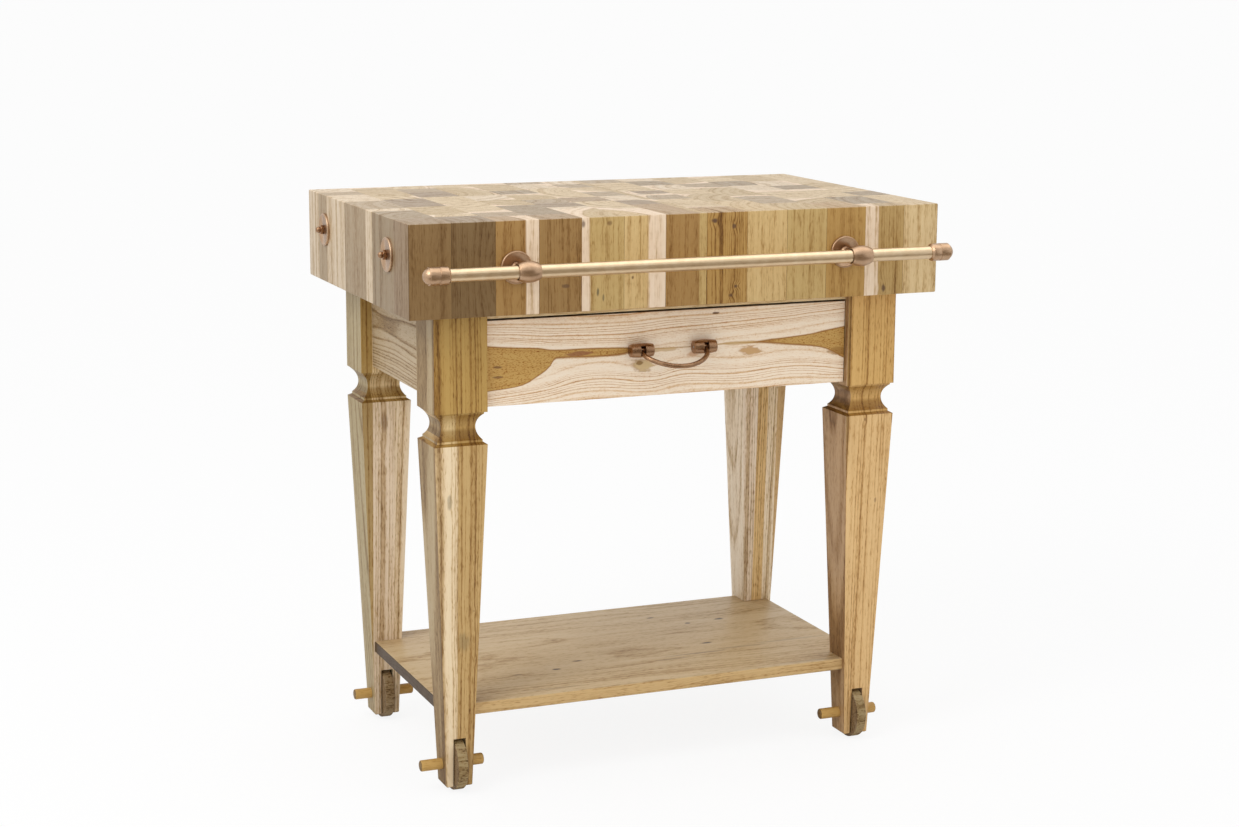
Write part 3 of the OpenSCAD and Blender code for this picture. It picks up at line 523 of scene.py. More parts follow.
metalLooks = {
    # copper tube, drawn and then brushed along its length: pale, golden and satin
    "brushedCopperTube": {
        "tones": ("#cfb38e", "#dcc3a0", "#e9d6b8"), "roughness": 0.32, "marks": (9.0, 0.6, 0.6),
        "relief": 0.1,
    },
    # copper that was cast and turned: rosier than the tube, and browner where it has tarnished
    "castCopper": {
        "tones": ("#a08166", "#b8987a", "#cdb194"), "roughness": 0.32, "marks": (4.0, 0.8, 0.8),
        "relief": 0.1,
    },
    # the same copper, darker all over, with a smoother shine
    "darkerCopper": {
        "tones": ("#7d5d45", "#9c795c", "#bd9977"), "roughness": 0.28, "marks": (4.0, 0.8, 0.8),
        "relief": 0.1,
    },
    # zinc plated steel of the screws, studs and rods: a cool, even grey
    "zincPlatedSteel": {
        "tones": ("#8d9095", "#a9acb0", "#c3c6c9"), "roughness": 0.38, "marks": (3.0, 3.0, 3.0),
        "relief": 0.05,
    },
}
tarnish = {
    "cloudSize": 14.0,
    "places": (0.25, 0.5, 0.75),  # of the three tones in the noise
    "roughnessSwing": 0.2,
    "markHeight": 0.1,
}


def metalMaterial(name, look):
    material, tree = newMaterial(name)
    place = millimetres(tree)
    cloud = addNode(
        tree, "ShaderNodeTexNoise",
        {"Vector": place, "Scale": 1 / tarnish["cloudSize"], "Detail": 4.0},
    )
    squeeze = tuple(1 / size for size in look["marks"])
    drawnOut = addNode(tree, "ShaderNodeVectorMath", {0: place, 1: squeeze}, operation="MULTIPLY")
    marks = addNode(tree, "ShaderNodeTexNoise", {"Vector": drawnOut, "Scale": 1.0, "Detail": 3.0})
    halfCloud = addNode(
        tree, "ShaderNodeMath", {0: cloud.outputs["Fac"], 1: 0.5}, operation="MULTIPLY"
    )
    bright = addNode(
        tree, "ShaderNodeMath", {0: marks.outputs["Fac"], 1: 0.5, 2: halfCloud},
        operation="MULTIPLY_ADD",
    )
    color = addNode(
        tree, "ShaderNodeValToRGB", {0: bright}, stops=tuple(zip(tarnish["places"], look["tones"]))
    )
    swing = tarnish["roughnessSwing"]
    gloss = addNode(
        tree, "ShaderNodeMath", {0: bright, 1: swing, 2: look["roughness"] - swing / 2},
        operation="MULTIPLY_ADD",
    )
    relief = addNode(
        tree, "ShaderNodeBump",
        {"Height": marks.outputs["Fac"], "Strength": look["relief"],
         "Distance": tarnish["markHeight"] * mm},
    )
    surface = addNode(
        tree, "ShaderNodeBsdfPrincipled",
        {"Base Color": color.outputs["Color"], "Metallic": 1.0, "Roughness": gloss,
         "Normal": relief},
    )
    addNode(tree, "ShaderNodeOutputMaterial", {"Surface": surface})
    return material


brushedCopper, castCopper, darkerCopper, zincPlatedSteel = (
    metalMaterial(name, look) for name, look in metalLooks.items()
)
print("metals ready")


# The object's woods: one hardwood, sanded and oiled, with olive-brown heartwood and pale sapwood.
# It is nearly matt, and it shows its grain, pores and knots.

slabLow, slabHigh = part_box("block_slab_7")
blockFront = slabLow.y / mm
blockMiddle = (slabLow.y + slabHigh.y) / 2 / mm
purple, soot, bark, nearBlack = "#573d30", "#54503c", "#6b4a2c", "#43301f"
knotLook = {
    "blockReach": 14.0,  # how far a knot goes into the wood
    "legReach": 30.0,
    "legPush": 3.0,
    "shelfReach": 30.0,
    "shelfPush": 4.0,
    "shelfStretch": 0.8,
    "shelfWidth": 5.0,
    "shelfTone": "#7b6448",
}


def frontKnot(x, z, width, height, depth, push, tone):
    return ((x, blockFront, z), (width, knotLook["blockReach"], height), depth, push, tone)


# staves on end, with bolder streaks and rings than the boards
blockWood = woodMaterial(
    "oiledBlockWood", axis="z", sap="#ecd6bc", wander=8.0, ripple=4.5, bandDepth=0.7,
    streakDepth=0.85, streakSize=(8.0, 150.0), fibreDepth=0.7, fibreSize=(1.7, 32.0), poreDepth=0.6,
    mottle=0.5,
    knots=(
        frontKnot(50, 905, 8, 6, 0.9, 5.0, purple),
        frontKnot(84, 895, 5, 6, 0.8, 4.0, purple),
        frontKnot(88, 800, 5, 4, 0.8, 5.0, purple),
        frontKnot(80, 786, 5, 4, 0.7, 5.0, purple),
        frontKnot(353, 784, 6, 9, 0.8, 5.0, purple),
        frontKnot(-199, 814, 9, 4, 0.6, 2.0, purple),
        frontKnot(-170, 908, 5, 9, 0.7, 2.0, purple),
        frontKnot(-127, 908, 6, 5, 0.6, 4.0, bark),
        frontKnot(-88, 822, 3, 4, 0.8, 4.0, bark),
        frontKnot(-146, 802, 3, 9, 0.75, 0.0, soot),
        frontKnot(-137, 793, 2, 7, 0.6, 0.0, soot),
        frontKnot(-326, 842, 12, 44, 0.0, 16.0, bark),  # swirls that have no core
        frontKnot(-402, 880, 10, 30, 0.0, 8.0, bark),
    ),
)


def legKnot(node, across, z, width, height, depth, tone):
    low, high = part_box(node)
    spot = ((low.x + high.x) / 2 / mm + across, low.y / mm, z)
    return (spot, (width, knotLook["legReach"], height), depth, knotLook["legPush"], tone)


# long grain down the leg, darker where the carving cuts across it: end grain, and partly painted
# shade on the neck and in the wheel slot
legWood = woodMaterial(
    "oiledLegWood", axis="z", wander=6.0, endTone="#b5a47c", bandDepth=0.8, streakDepth=0.8,
    streakSize=(9.0, 260.0),
    knots=(
        legKnot("leg_front_left", 8, 249, 16, 24, 0.35, soot),
        legKnot("leg_front_left", -18, 480, 5, 16, 0.4, soot),
        legKnot("leg_front_left", 26, 218, 3, 5, 0.6, bark),
        legKnot("leg_front_left", 22, 300, 3, 4, 0.6, bark),
        legKnot("leg_back_left", -4, 532, 8, 22, 0.5, bark),
        legKnot("leg_front_right", 18, 420, 3, 6, 0.5, bark),
        legKnot("leg_front_right", -8, 560, 4, 5, 0.5, bark),
    ),
)
# sawn boards, whose rings wander along them, with the grain across the object and from its front
longWood = woodMaterial("oiledWoodAlongX", axis="x", wander=14.0, ripple=5.0)
deepWood = woodMaterial("oiledWoodAlongY", axis="y", wander=14.0, ripple=5.0)
# turned discs, with open, mottled pores across the tread
wheelWood = woodMaterial(
    "oiledWheelWood", axis="x", streakSize=(4.0, 9.0), poreSize=(2.0, 5.0), poreDepth=1.6,
    fibreDepth=0.7, mottle=0.8,
)


def shelfKnot(x, y, length, depth, tone=knotLook["shelfTone"]):
    spot = (x, y + blockMiddle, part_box("shelf")[1].z / mm)
    size = (knotLook["shelfStretch"] * length, knotLook["shelfWidth"], knotLook["shelfReach"])
    return (spot, size, depth, knotLook["shelfPush"], tone)


# a wide board, with small dark knots and long, soft shadows in its grain
shelfWood = woodMaterial(
    "oiledShelfWood", axis="x", wander=18.0, ripple=6.0, streakDepth=0.85, streakSize=(16.0, 190.0),
    bandDepth=0.3,
    knots=(
        shelfKnot(125, 131, 15, 0.95, nearBlack), shelfKnot(236, 82, 14, 0.95, nearBlack),
        shelfKnot(173, 76, 8, 0.8, nearBlack), shelfKnot(-93, -64, 18, 0.95, nearBlack),
        shelfKnot(154, -47, 20, 0.9, nearBlack), shelfKnot(-143, -95, 13, 0.95, nearBlack),
        shelfKnot(-214, -100, 15, 0.7), shelfKnot(115, -97, 95, 0.6),
        shelfKnot(60, -112, 60, 0.45), shelfKnot(200, -88, 80, 0.4), shelfKnot(300, -80, 120, 0.35),
        shelfKnot(-180, -190, 80, 0.4), shelfKnot(280, -205, 130, 0.35),
    ),
)
print("woods ready")


# Block: thirteen slabs, each glued from staves that stand on end, so that the top is end grain

tones = {
    "umber": "#8a6d45",
    "olive": "#8d7449",
    "brown": "#9f7d4c",
    "moss": "#7f6541",
    "hazel": "#a8834d",
    "honey": "#b79153",
    "straw": "#b99a63",
    "tan": "#c5a86f",
    "gold": "#d5b780",
    "taupe": "#a88f68",
    "pale": "#dcc293",
    "cream": "#e8d3b4",
}

# length of each stave from the front and its tone
slabStaves = (
    ((74, "umber"), (112, "olive"), (36, "cream"), (118, "taupe"), (108, "cream"), (50, "taupe"),
     (62, "cream")),
    ((80, "moss"), (30, "pale"), (120, "tan"), (125, "umber"), (45, "pale"), (160, "tan")),
    ((60, "hazel"), (55, "taupe"), (125, "pale"), (130, "pale"), (80, "umber"), (60, "taupe"),
     (50, "pale")),
    ((60, "brown"), (140, "olive"), (90, "tan"), (75, "cream"), (150, "tan"), (45, "pale")),
    ((130, "tan"), (25, "cream"), (60, "umber"), (60, "taupe"), (95, "tan"), (60, "olive"),
     (130, "tan")),
    ((100, "gold"), (120, "pale"), (65, "brown"), (165, "pale"), (75, "cream"), (35, "taupe")),
    ((150, "hazel"), (65, "umber"), (75, "cream"), (70, "taupe"), (80, "pale"), (60, "taupe"),
     (60, "cream")),
    ((75, "honey"), (135, "pale"), (65, "taupe"), (25, "cream"), (50, "umber"), (150, "pale"),
     (60, "taupe")),
    ((150, "gold"), (125, "tan"), (80, "pale"), (80, "cream"), (75, "olive"), (50, "cream")),
    ((95, "tan"), (125, "taupe"), (140, "tan"), (80, "taupe"), (120, "tan")),
    ((80, "honey"), (70, "tan"), (130, "pale"), (100, "cream"), (80, "olive"), (100, "pale")),
    ((40, "straw"), (110, "olive"), (140, "pale"), (65, "olive"), (85, "cream"), (120, "tan")),
    ((155, "pale"), (65, "olive"), (85, "pale"), (70, "tan"), (185, "pale")),
)

blockLook = {
    "ease": 1.9,  # eased edge round the block
    "joint": 0.25,  # the hairline at each glue joint between two slabs
    "paintedTopSheen": "#d2c3b0",  # the pale grey that the top is mixed towards: a painted sheen
    "topShare": 0.36,
    "arris": "#a0937f",  # the upright corners are darker
    "arrisLean": 0.35,  # how far a corner's face leans along both x and y
    "paintedEndHaze": "#998c7e",  # the grey that the two ends are mixed towards: a painted haze of sheen
    "endShare": 0.42,
    "heartAway": (45, 150),  # how far a stave's heart lies from its middle
    "paleTones": ("cream", "pale", "tan"),
    "paleFronts": ("gold", "pale", "tan"),  # front staves that make a slab one of the pale ones
    "paleWedge": (2, 30),  # how far the sapwood reaches into a pale stave, and into a dark one
    "darkWedge": (-12, 22),
    "endWedge": -50,  # the staves of the first and last slab show none
    "ringWidth": (5.0, 9.0),
    "ringDepth": 0.22,
    # the staves at the front show long grain in upright lines, and sapwood only where it is told
    "frontHeart": 160.0,
    "frontSkew": 30.0,
    "frontSap": 640.0,
    "frontRingWidth": 6.5,
    "frontRingDepth": 0.16,
    "strongRings": {8: 0.6, 2: 0.3, 4: 0.3, 12: 0.3},  # by the slab's number
    "sapFrom": {3: -262.0, 5: -160.5, 6: -62.0, 12: 340.0},  # where it begins across the block
    "stripFrom": {7: 24.5},  # a narrow strip of paler wood at one side of a slab
    "stripTone": "tan",
}
chance = random.Random(36)


def staveBoard(number, x, y, width, length, tone, isFront):
    # the heart lies outside most staves, and the sapwood often crosses a corner
    turn = chance.uniform(0, 2 * math.pi)
    away = chance.uniform(*blockLook["heartAway"])
    isPale = tone in blockLook["paleTones"]
    wedge = chance.uniform(*blockLook["paleWedge" if isPale else "darkWedge"])
    board = {
        "tone": tones[tone],
        "figure": chance.random(),
        "ringWidth": chance.uniform(*blockLook["ringWidth"]),
        "ringDepth": blockLook["ringDepth"],
    }
    heart = Vector((x + away * math.cos(turn), y + away * math.sin(turn)))
    farthest = max(
        (Vector((x + i * width / 2, y + j * length / 2)) - heart).length
        for i in (-1, 1) for j in (-1, 1)
    )
    if number in (1, len(slabStaves)):
        wedge = blockLook["endWedge"]
    board["pith"] = (heart.x, heart.y, farthest - wedge)
    if isFront:
        away = blockLook["frontHeart"]
        start = blockLook["sapFrom"].get(number)
        if start is None:
            side = math.copysign(1, math.cos(turn))
            skew = blockLook["frontSkew"] * math.sin(turn)
            board["pith"] = (x + side * away, blockFront + skew, blockLook["frontSap"])
        else:
            side = math.copysign(1, x - start)
            board["pith"] = (start + side * away, blockFront, away + plainWood["sapFade"][1])
        board["ringDepth"] = blockLook["strongRings"].get(number, blockLook["frontRingDepth"])
        board["ringWidth"] = blockLook["frontRingWidth"]
    return board


def buildSlab(number, staves):
    node = f"block_slab_{number}"
    low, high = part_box(node)
    size = high - low
    bm = bmesh.new()
    bmesh.ops.create_cube(bm, size=1.0)
    bmesh.ops.scale(bm, vec=size, verts=bm.verts)
    bmesh.ops.translate(bm, vec=(low + high) / 2, verts=bm.verts)
    bm.normal_update()
    outer = {
        face: abs(face.normal.x) < 0.5
        or (number == 1 and face.normal.x < 0)
        or (number == len(slabStaves) and face.normal.x > 0)
        for face in bm.faces
    }
    rounded = [e for e in bm.edges if all(outer[f] for f in e.link_faces)]
    bevelEdges(bm, rounded, blockLook["ease"], 3)
    # the faces that are glued to the next slab now have rounded corners, so more than four
    glued = [f for f in bm.faces if abs(f.normal.x) > 0.999 and len(f.verts) > 4]
    hair = [e for e in bm.edges if any(f in glued for f in e.link_faces)]
    bevelEdges(bm, hair, blockLook["joint"], 1)
    ends = []
    reach = low.y / mm
    for length, tone in staves:
        reach += length
        ends.append(reach)
    cutAt(bm, ends[:-1], 1)
    stripFrom = blockLook["stripFrom"].get(number, math.inf)
    if number in blockLook["stripFrom"]:
        cutAt(bm, [stripFrom], 0)
    middle = (low.x + high.x) / 2 / mm
    boards = [
        staveBoard(number, middle, end - length / 2, size.x / mm, length, tone, i == 0)
        for i, ((length, tone), end) in enumerate(zip(staves, ends))
    ]

    def boardAt(spot, normal):
        board = dict(boards[min(sum(spot.y > end for end in ends), len(boards) - 1)])
        if spot.x > stripFrom:
            board["tone"] = tones[blockLook["stripTone"]]
        if min(abs(normal.x), abs(normal.y)) > blockLook["arrisLean"]:
            board["tone"] = shaded(board["tone"], blockLook["arris"])
        # the top takes a painted sheen, paler and greyer
        elif normal.z > 0.5:
            board["tone"] = mixed(board["tone"], blockLook["paintedTopSheen"], blockLook["topShare"])
        # the two ends take a painted haze of sheen, greyer
        elif abs(normal.x) > 0.5:
            board["tone"] = mixed(board["tone"], blockLook["paintedEndHaze"], blockLook["endShare"])
        return board

    stampBoards(bm, boardAt)
    finishPiece(bm, f"staves_{number}", blockWood, node)


for number, staves in enumerate(slabStaves, 1):
    buildSlab(number, staves)
print("block ready")


# Legs: each is glued from boards side by side. A board is given by its right edge from the
# leg's middle (99 is past the leg), its tone, and where its heart lies.

legs = {
    # 'side' is the tone of a leg's left face: greyer and darker than its front, a painted shade
    "leg_front_left": {
        "side": "#ad9874",
        "head": "#c7a76d",
        "boards": ((-4, "#f0dab6", (-150, 20)), (99, "#caa972", (150, -30))),
    },
    "leg_front_right": {
        "side": "#ba9b76",
        "boards": ((-38, "#b99968", (-150, 0)), (99, "#e5c089", (170, -40))),
    },
    "leg_back_left": {
        "side": "#aa9a76",
        "boards": ((-24, "#b69c6c", (-120, -40)), (14, "#e8d6be", (160, -10)),
                   (99, "#ead8bc", (130, 20))),
    },
    # the back right leg's side and boards are paler: painted light against the shade under the
    # block
    "leg_back_right": {
        "side": "#f6e9d5",
        "boards": ((-12, "#f4e5d2", (-150, 10)), (8, "#e6c68e", (110, -20)),
                   (27, "#f6e6cb", (160, 0)), (99, "#d3b281", (120, 10))),
    },
}
legLook = {
    "ease": 0.4,
    "ringWidth": 10.0,
    "ringDepth": 0.45,
    "sapRadius": 400.0,  # outside the leg, which is heartwood throughout
    "neckFrom": 560.0,
    "neckTop": 615.0,
    "headStainAndShade": "#f1e9cd",  # the neck and the head are darker: partly more oil, partly painted shade under the block
    "sideways": 0.6,  # a face whose normal leans this far along x is on a side of the leg
}
flatWithin = 0.3  # degrees within which a wooden piece's triangles are one face


for number, (node, leg) in enumerate(legs.items()):
    low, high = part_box(node)
    middle = (low + high) / 2 / mm
    bm = copyOf(node, flatWithin)
    easeEdges(bm, legLook["ease"])
    cuts = [middle.x + edge for edge, *_ in leg["boards"]]
    cutAt(bm, cuts[:-1], 0)

    def boardAt(spot, normal):
        i = min(sum(spot.x > c for c in cuts), len(cuts) - 1)
        isSide = abs(normal.x) > legLook["sideways"]
        if isSide:
            i = len(cuts) - 1 if normal.x > 0 else 0
        _, tone, heart = leg["boards"][i]
        # the left face takes its own tone: painted shade, or painted light on the back right leg
        if isSide and normal.x < 0 and abs(normal.z) < 0.5:
            tone = leg["side"]
        # the front left leg's head has its own darker tone, and every head and neck is tinted:
        # partly stain, partly painted shade under the block's overhang
        if spot.z > legLook["neckTop"] and not isSide:
            tone = leg.get("head", tone)
        if spot.z > legLook["neckFrom"] and not isSide:
            tone = shaded(tone, legLook["headStainAndShade"])
        return {
            "pith": (middle.x + heart[0], middle.y + heart[1], legLook["sapRadius"]),
            "tone": tone,
            "figure": 0.11 + 0.17 * number + 0.07 * i,  # another number for each board
            "ringWidth": legLook["ringWidth"],
            "ringDepth": legLook["ringDepth"],
        }

    stampBoards(bm, boardAt)
    finishPiece(bm, f"carved_{node}", legWood, node)
print("legs ready")


# Drawer front: a pale board with a streak of golden heartwood along its middle, narrow behind the
# pull and wide at both ends. The streak's edges are shares of the board's length and height.

frontLow, frontHigh = (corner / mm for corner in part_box("drawer_front"))
frontStreak = {
    "left": frontLow.x,
    "right": frontHigh.x,
    "bottom": frontLow.z,
    "top": frontHigh.z,
    "ripple": 7.0,
    "spare": 0.25,  # share of the height beyond each edge where the lines would be flat
    "reach": 90.0,
    "lineFade": 3.0,  # the ring lines fade out over this width
    "heartRings": 0.2,  # depth of the rings inside the streak
    "patchReach": 40.0,
    "upper": ((0.0, 0.71), (0.14, 0.65), (0.18, 0.62), (0.35, 0.605), (0.43, 0.57), (0.7, 0.565),
              (0.83, 0.6), (1.0, 0.69)),
    "lower": ((0.0, 0.17), (0.07, 0.2), (0.14, 0.32), (0.17, 0.42), (0.19, 0.51), (0.35, 0.505),
              (0.43, 0.555), (0.7, 0.55), (0.83, 0.51), (0.93, 0.44), (1.0, 0.3)),
    # where the ring lines begin above and below it
    "upperLines": ((0.0, 0.76), (0.2, 0.68), (0.36, 0.65), (0.5, 0.7), (0.64, 0.72), (0.8, 0.76),
                   (1.0, 0.83)),
    "lowerLines": ((0.0, 0.15), (0.12, 0.2), (0.3, 0.34), (0.44, 0.27), (0.55, 0.34), (0.7, 0.3),
                   (0.83, 0.34), (1.0, 0.26)),
}


def frontPatch(along, up, length, height, depth, tone):
    spot = (frontLow.x + along, frontLow.y, frontLow.z + up)
    return (spot, (length, frontStreak["patchReach"], height), depth, 0.0, tone)


# a paler, less oiled board with fine reddish ring lines. Its heartwood is flecked with short
# pores, and a dark line parts it from the sapwood.
drawerWood = woodMaterial(
    "oiledDrawerWood", axis="x", sap="#f9e9d4", edgeLine=0.85, streakDepth=0.35, bandDepth=0.2,
    fibreDepth=0.3, poreDepth=1.5, poreSize=(1.5, 3.5), mottle=0.35, unevenness=9.0,
    knotEdge=(1.15, 1.4), lens=frontStreak,
    late=((0.0, 0.3), (0.08, 0.0), (0.7, 0.03), (0.88, 0.7), (0.94, 1.0), (1.0, 0.3)),
    grain=((0.0, "#ffffff"), (0.25, "#fcf8f2"), (0.6, "#dfc4a2"), (1.0, "#ab7a4e")),
    knots=(
        frontPatch(158, 74, 40, 7, 0.8, "#94603f"), frontPatch(20, 61, 18, 5, 0.8, "#7a5636"),
        frontPatch(20, 45, 17, 4, 0.75, "#7a5636"), frontPatch(262, 49, 38, 19, 0.75, "#ab7f49"),
        frontPatch(264, 49, 33, 15, 0.85, "#dabf8e"), frontPatch(258, 53, 11, 7, 0.8, "#8c6532"),
        frontPatch(300, 72, 50, 7, 0.6, "#c29a58"), frontPatch(352, 62, 26, 8, 0.75, "#cf9f74"),
        frontPatch(452, 62, 42, 15, 0.8, "#b98a55"), frontPatch(454, 62, 37, 12, 0.85, "#cda573"),
        frontPatch(430, 76, 60, 5, 0.6, "#c29a58"), frontPatch(612, 52, 36, 15, 0.7, "#9c7037"),
        frontPatch(390, 126, 12, 4, 0.9, bark),
    ),
)


# Boards that are one piece of wood: material, slot, tone, heart across the grain, sapwood edge,
# and the tones of faces that differ

boardPieces = {
    "apron_left": (deepWood, "panel_wood", "#b8a588", (-424, 712), 400, {}),
    "apron_right": (deepWood, "panel_wood", "#cdb48b", (430, 690), 400, {}),
    "apron_back": (longWood, "panel_wood", "#d3b98c", (430, 690), 400, {}),
    # the rail's underside is painted shade: dark over the gap above the drawer
    "front_top_rail": (longWood, "panel_wood", "#e6cfa4", (-430, 900), 400, {"z-": "#5a4a34"}),
    "shelf": (shelfWood, "panel_wood", "#c7b08a", (40, -160), 600,
              {"y-": "#cfaf7c", "x-": "#49361f"}),
    "top_cleat_left": (deepWood, "inner_wood", "#c3a672", (-380, 700), 300, {}),
    "top_cleat_right": (deepWood, "inner_wood", "#c3a672", (380, 700), 300, {}),
    "drawer_front": (drawerWood, "panel_wood", "#c8a25e", (-330, 690), 100, {}),
    "drawer_side_left": (deepWood, "inner_wood", "#d0b688", (-420, 690), 300, {}),
    "drawer_side_right": (deepWood, "inner_wood", "#d0b688", (420, 690), 300, {}),
    "drawer_back": (longWood, "inner_wood", "#d0b688", (330, 690), 300, {}),
    "drawer_bottom": (longWood, "inner_wood", "#dcc59c", (0, 480), 400, {}),
    "drawer_runner_left": (deepWood, "inner_wood", "#b08f5c", (-420, 690), 300, {}),
    "drawer_runner_right": (deepWood, "inner_wood", "#b08f5c", (420, 690), 300, {}),
}
# the wheels and their pegs: hearts of the peg and the wheel, and the wheel's tone
wheelCorners = {
    "front_left": ((-230, 40), (-290, 30), "#9f8b64"),
    "front_right": ((-230, 80), (-290, 70), "#9f8b64"),
    "back_left": ((200, 40), (290, 30), "#948061"),
    "back_right": ((200, 80), (290, 70), "#948061"),
}
pegTone, pegEnds, wheelEnds = "#c29c5a", "#80663a", "#7f6a4f"
for corner, (heart, *_) in wheelCorners.items():
    boardPieces[f"wheel_peg_{corner}"] = (
        longWood, "peg_wood", pegTone, heart, 300, {"x-": pegEnds, "x+": pegEnds}
    )
for corner, (_, heart, tone) in wheelCorners.items():
    boardPieces[f"wheel_{corner}"] = (
        wheelWood, "wheel_wood", tone, heart, 300, {"x-": wheelEnds, "x+": wheelEnds}
    )

boardLook = {
    "ease": 0.7,
    "ringDepth": 0.35,
    "ringDepths": {"drawer_front": 0.7, "apron_left": 0.6, "apron_right": 0.5, "shelf": 0.27},
    "ringWidth": 7.5,
    "apronRings": 5.0,
}

for number, (node, (wood, slot, tone, heart, sapRadius, others)) in enumerate(boardPieces.items()):
    bm = copyOf(node, flatWithin)
    easeEdges(bm, boardLook["ease"])
    stampBoards(
        bm,
        lambda spot, normal: {
            "pith": (*heart, sapRadius),
            "tone": others.get(facing(normal), tone),
            "figure": 0.031 * number + 0.02,  # another number for each board
            "ringDepth": boardLook["ringDepths"].get(node, boardLook["ringDepth"]),
            "ringWidth": boardLook["apronRings" if node.startswith("apron") else "ringWidth"],
        },
    )
    finishPiece(bm, f"{node}_board", wood, node)
print("boards ready")


# Metal: copies of the solids with eased edges, by metal and width of the easing. The small steel
# pieces keep their CAD shape.

copperPieces = {
    "towel_rail": (brushedCopper, 0.0),
    "rail_cap_left": (castCopper, 0.25),
    "rail_cap_right": (castCopper, 0.25),
    "rail_bracket_left": (castCopper, 0.35),
    "rail_bracket_right": (castCopper, 0.35),
    "rail_rosette_left": (castCopper, 0.0),
    "rail_rosette_right": (castCopper, 0.0),
    "tie_washers": (castCopper, 0.0),
    "tie_nuts": (darkerCopper, 0.3),
    "pull_knuckle_left": (darkerCopper, 0.3),
    "pull_knuckle_right": (darkerCopper, 0.3),
    "pull_bail": (darkerCopper, 0.2),
}
copperFlatWithin = 0.2
copperSharpOver = 35
copperSmoothUnder = 40

for node, (metal, ease) in copperPieces.items():
    bm = copyOf(node, copperFlatWithin if ease else 0.0)
    if ease:
        easeEdges(bm, ease, copperSharpOver)
    finishPiece(bm, f"{node}_copper", metal, node, copperSmoothUnder)

for node in (
    "top_screws", "runner_screws", "pull_pins", "pull_screws", "rail_studs", "rail_grub_screws",
    "tie_rod_front", "tie_rod_back",
):
    slots = frame["nodes"][node].material_slots
    for place in slots:
        place.material = zincPlatedSteel
    if not slots:
        frame["nodes"][node].data.materials.append(zincPlatedSteel)
print("metal ready")


# Studio: a white room with a pale floor and a soft key from the upper left. A grey card, which
# lies on the floor before the object and stands up behind the camera, and a bright board overhead
# are seen by gloss alone, so that the metal has something to reflect. Lengths are in metres here.

studio = {
    "whiteness": 1.0,
    "roomLight": 0.86,
    "keyPlace": (-2.7, -1.3, 3.3),
    "keyAim": (0.0, 0.0, 0.6),
    "keySize": 1.8,
    "keyPower": 52,
    "floorRadius": 120.0,
    "floorTone": "#f4f4f4",
    "floorWhite": 0.88,  # how much of the floor that the camera sees is plain white
    "cardWidth": 5.0,
    "cardNear": -1.1,
    "cardFar": -4.6,
    "cardHeight": 3.0,
    "cardLift": 0.01,
    "cardTone": "#a99f91",
    "softBoxSize": (5.0, 1.7),
    "softBoxPlace": (0.0, -0.35, 2.5),
    "softBoxGlow": 1.9,
}


def stagePiece(bm, name, material):
    piece = newPiece(bm, name, material)
    piece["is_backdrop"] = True
    return piece


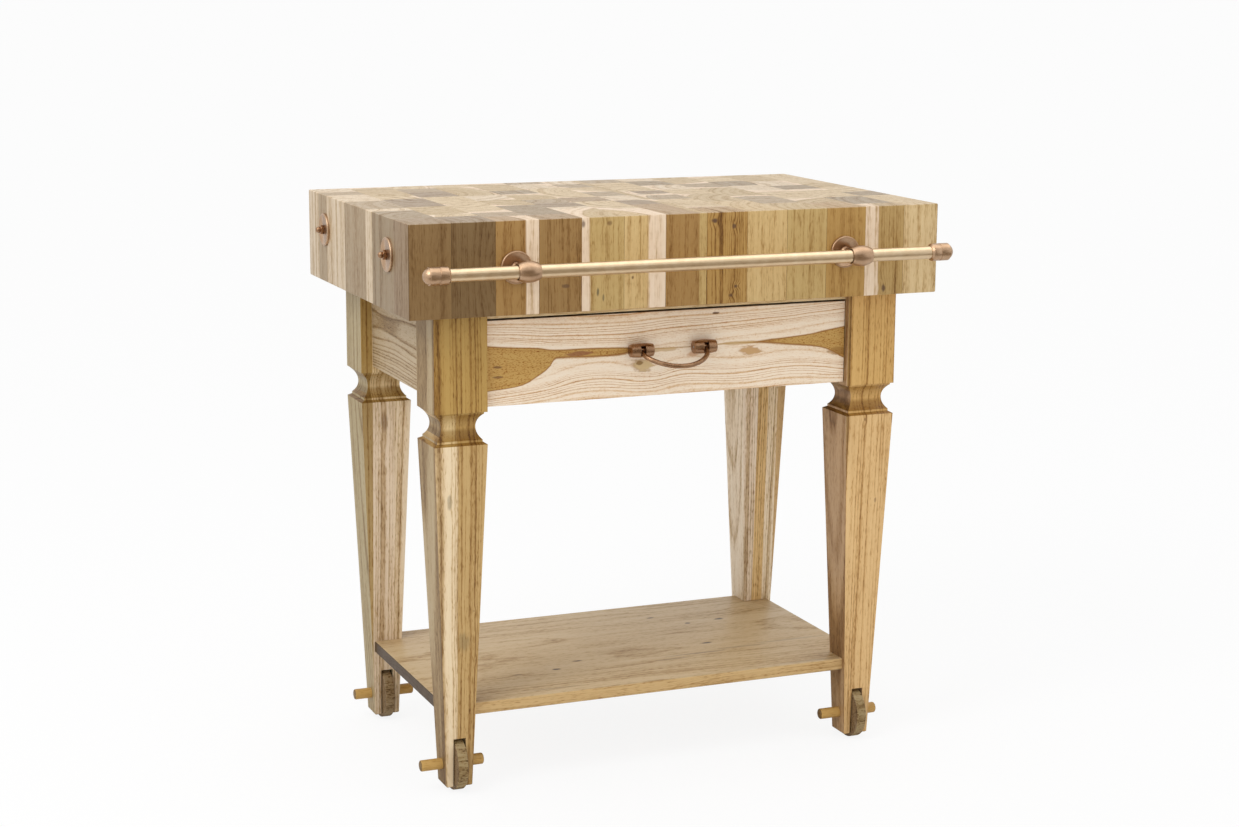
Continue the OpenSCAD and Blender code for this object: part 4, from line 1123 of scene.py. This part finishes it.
def buildStudio():
    plainWhite = (1, 1, 1, 1)
    world = bpy.data.worlds.new("whiteStudio")
    bpy.context.scene.world = world
    world.use_nodes = True
    tree = world.node_tree
    tree.nodes.clear()
    rays = addNode(tree, "ShaderNodeLightPath")
    seen = addNode(
        tree, "ShaderNodeMath",
        {0: rays.outputs["Is Camera Ray"], 1: rays.outputs["Is Glossy Ray"]}, operation="MAXIMUM",
    )
    seen = addNode(
        tree, "ShaderNodeMath", {0: seen, 1: rays.outputs["Is Transmission Ray"]},
        operation="MAXIMUM",
    )
    room, backdrop = (
        addNode(
            tree, "ShaderNodeBackground", {"Color": plainWhite, "Strength": studio[strength]}
        )
        for strength in ("roomLight", "whiteness")
    )
    both = addNode(tree, "ShaderNodeMixShader", {0: seen, 1: room, 2: backdrop})
    addNode(tree, "ShaderNodeOutputWorld", {"Surface": both})

    key = bpy.data.lights.new("keyLight", "AREA")
    key.shape = "DISK"
    key.size = studio["keySize"]
    key.energy = studio["keyPower"]
    lamp = bpy.data.objects.new("keyLight", key)
    place = Vector(studio["keyPlace"])
    aim = (Vector(studio["keyAim"]) - place).to_track_quat("-Z", "Y")
    lamp.matrix_world = Matrix.Translation(place) @ aim.to_matrix().to_4x4()
    bpy.context.scene.collection.objects.link(lamp)

    # matt white paint, which takes the object's shadow, under plain white for the camera
    material, tree = newMaterial("whiteFloor")
    paint = addNode(
        tree, "ShaderNodeBsdfDiffuse", {"Color": linearColor(studio["floorTone"])}
    )
    glow = addNode(tree, "ShaderNodeEmission", {"Color": plainWhite, "Strength": 1.0})
    rays = addNode(tree, "ShaderNodeLightPath")
    lift = addNode(
        tree, "ShaderNodeMath",
        {0: rays.outputs["Is Camera Ray"], 1: studio["floorWhite"]}, operation="MULTIPLY",
    )
    both = addNode(tree, "ShaderNodeMixShader", {0: lift, 1: paint, 2: glow})
    addNode(tree, "ShaderNodeOutputMaterial", {"Surface": both})
    bm = bmesh.new()
    bmesh.ops.create_circle(bm, cap_ends=True, segments=64, radius=studio["floorRadius"])
    stagePiece(bm, "studioFloor", material)

    # matt grey card
    material, tree = newMaterial("greyCard")
    card = addNode(tree, "ShaderNodeBsdfDiffuse", {"Color": linearColor(studio["cardTone"])})
    addNode(tree, "ShaderNodeOutputMaterial", {"Surface": card})
    bm = bmesh.new()
    half = studio["cardWidth"] / 2
    near = [bm.verts.new((x, studio["cardNear"], studio["cardLift"])) for x in (-half, half)]
    edge = bm.edges.new(near)
    for step in ((0, studio["cardFar"] - studio["cardNear"], 0), (0, 0, studio["cardHeight"])):
        made = bmesh.ops.extrude_edge_only(bm, edges=[edge])["geom"]
        corners = [g for g in made if isinstance(g, bmesh.types.BMVert)]
        bmesh.ops.translate(bm, vec=step, verts=corners)
        edge = next(
            g for g in made
            if isinstance(g, bmesh.types.BMEdge) and all(v in corners for v in g.verts)
        )
    cards = [stagePiece(bm, "greyCard", material)]

    # the lit cloth of a soft box
    material, tree = newMaterial("softBox")
    glow = addNode(
        tree, "ShaderNodeEmission", {"Color": plainWhite, "Strength": studio["softBoxGlow"]}
    )
    addNode(tree, "ShaderNodeOutputMaterial", {"Surface": glow})
    bm = bmesh.new()
    bmesh.ops.create_grid(bm, x_segments=1, y_segments=1, size=0.5)
    bmesh.ops.scale(bm, vec=(*studio["softBoxSize"], 1), verts=bm.verts)
    bmesh.ops.translate(bm, vec=studio["softBoxPlace"], verts=bm.verts)
    cards.append(stagePiece(bm, "softBox", material))
    for card in cards:
        card.visible_camera = False
        card.visible_diffuse = False
        card.visible_shadow = False


# Camera at the photograph's view, in millimetres and degrees from the middle of the block

photoView = {
    "azimuth": -22.5735,
    "elevation": 11.0536,
    "roll": 0.325,
    "distance": 3981.93,
    "sideways": 6.881,
    "upward": 94.676,
    "middleHeight": 454.0,
    "lens": 68.1,
    "sensor": 36.0,
    "clipEnd": 300.0,  # metres
}


def buildCamera():
    turn, lift = math.radians(photoView["azimuth"]), math.radians(photoView["elevation"])
    roll = math.radians(photoView["roll"])
    back = Vector(
        (math.sin(turn) * math.cos(lift), -math.cos(turn) * math.cos(lift), math.sin(lift))
    )
    right = Vector((math.cos(turn), math.sin(turn), 0))
    up = back.cross(right)
    target = Vector((0, blockMiddle, photoView["middleHeight"]))
    target += right * photoView["sideways"] + up * photoView["upward"]
    rolledRight = right * math.cos(roll) + up * math.sin(roll)
    rolledUp = up * math.cos(roll) - right * math.sin(roll)
    axes = Matrix((rolledRight, rolledUp, back)).transposed().to_4x4()
    lens = bpy.data.cameras.new("photoCamera")
    lens.lens = photoView["lens"]
    lens.sensor_width = photoView["sensor"]
    lens.sensor_fit = "HORIZONTAL"
    lens.clip_end = photoView["clipEnd"]
    camera = bpy.data.objects.new("photoCamera", lens)
    camera.matrix_world = Matrix.Translation((target + back * photoView["distance"]) * mm) @ axes
    bpy.context.scene.collection.objects.link(camera)
    bpy.context.scene.camera = camera


buildStudio()
buildCamera()
bpy.context.scene.view_settings.view_transform = "Standard"
print("studio ready")

low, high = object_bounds()
print("finished")
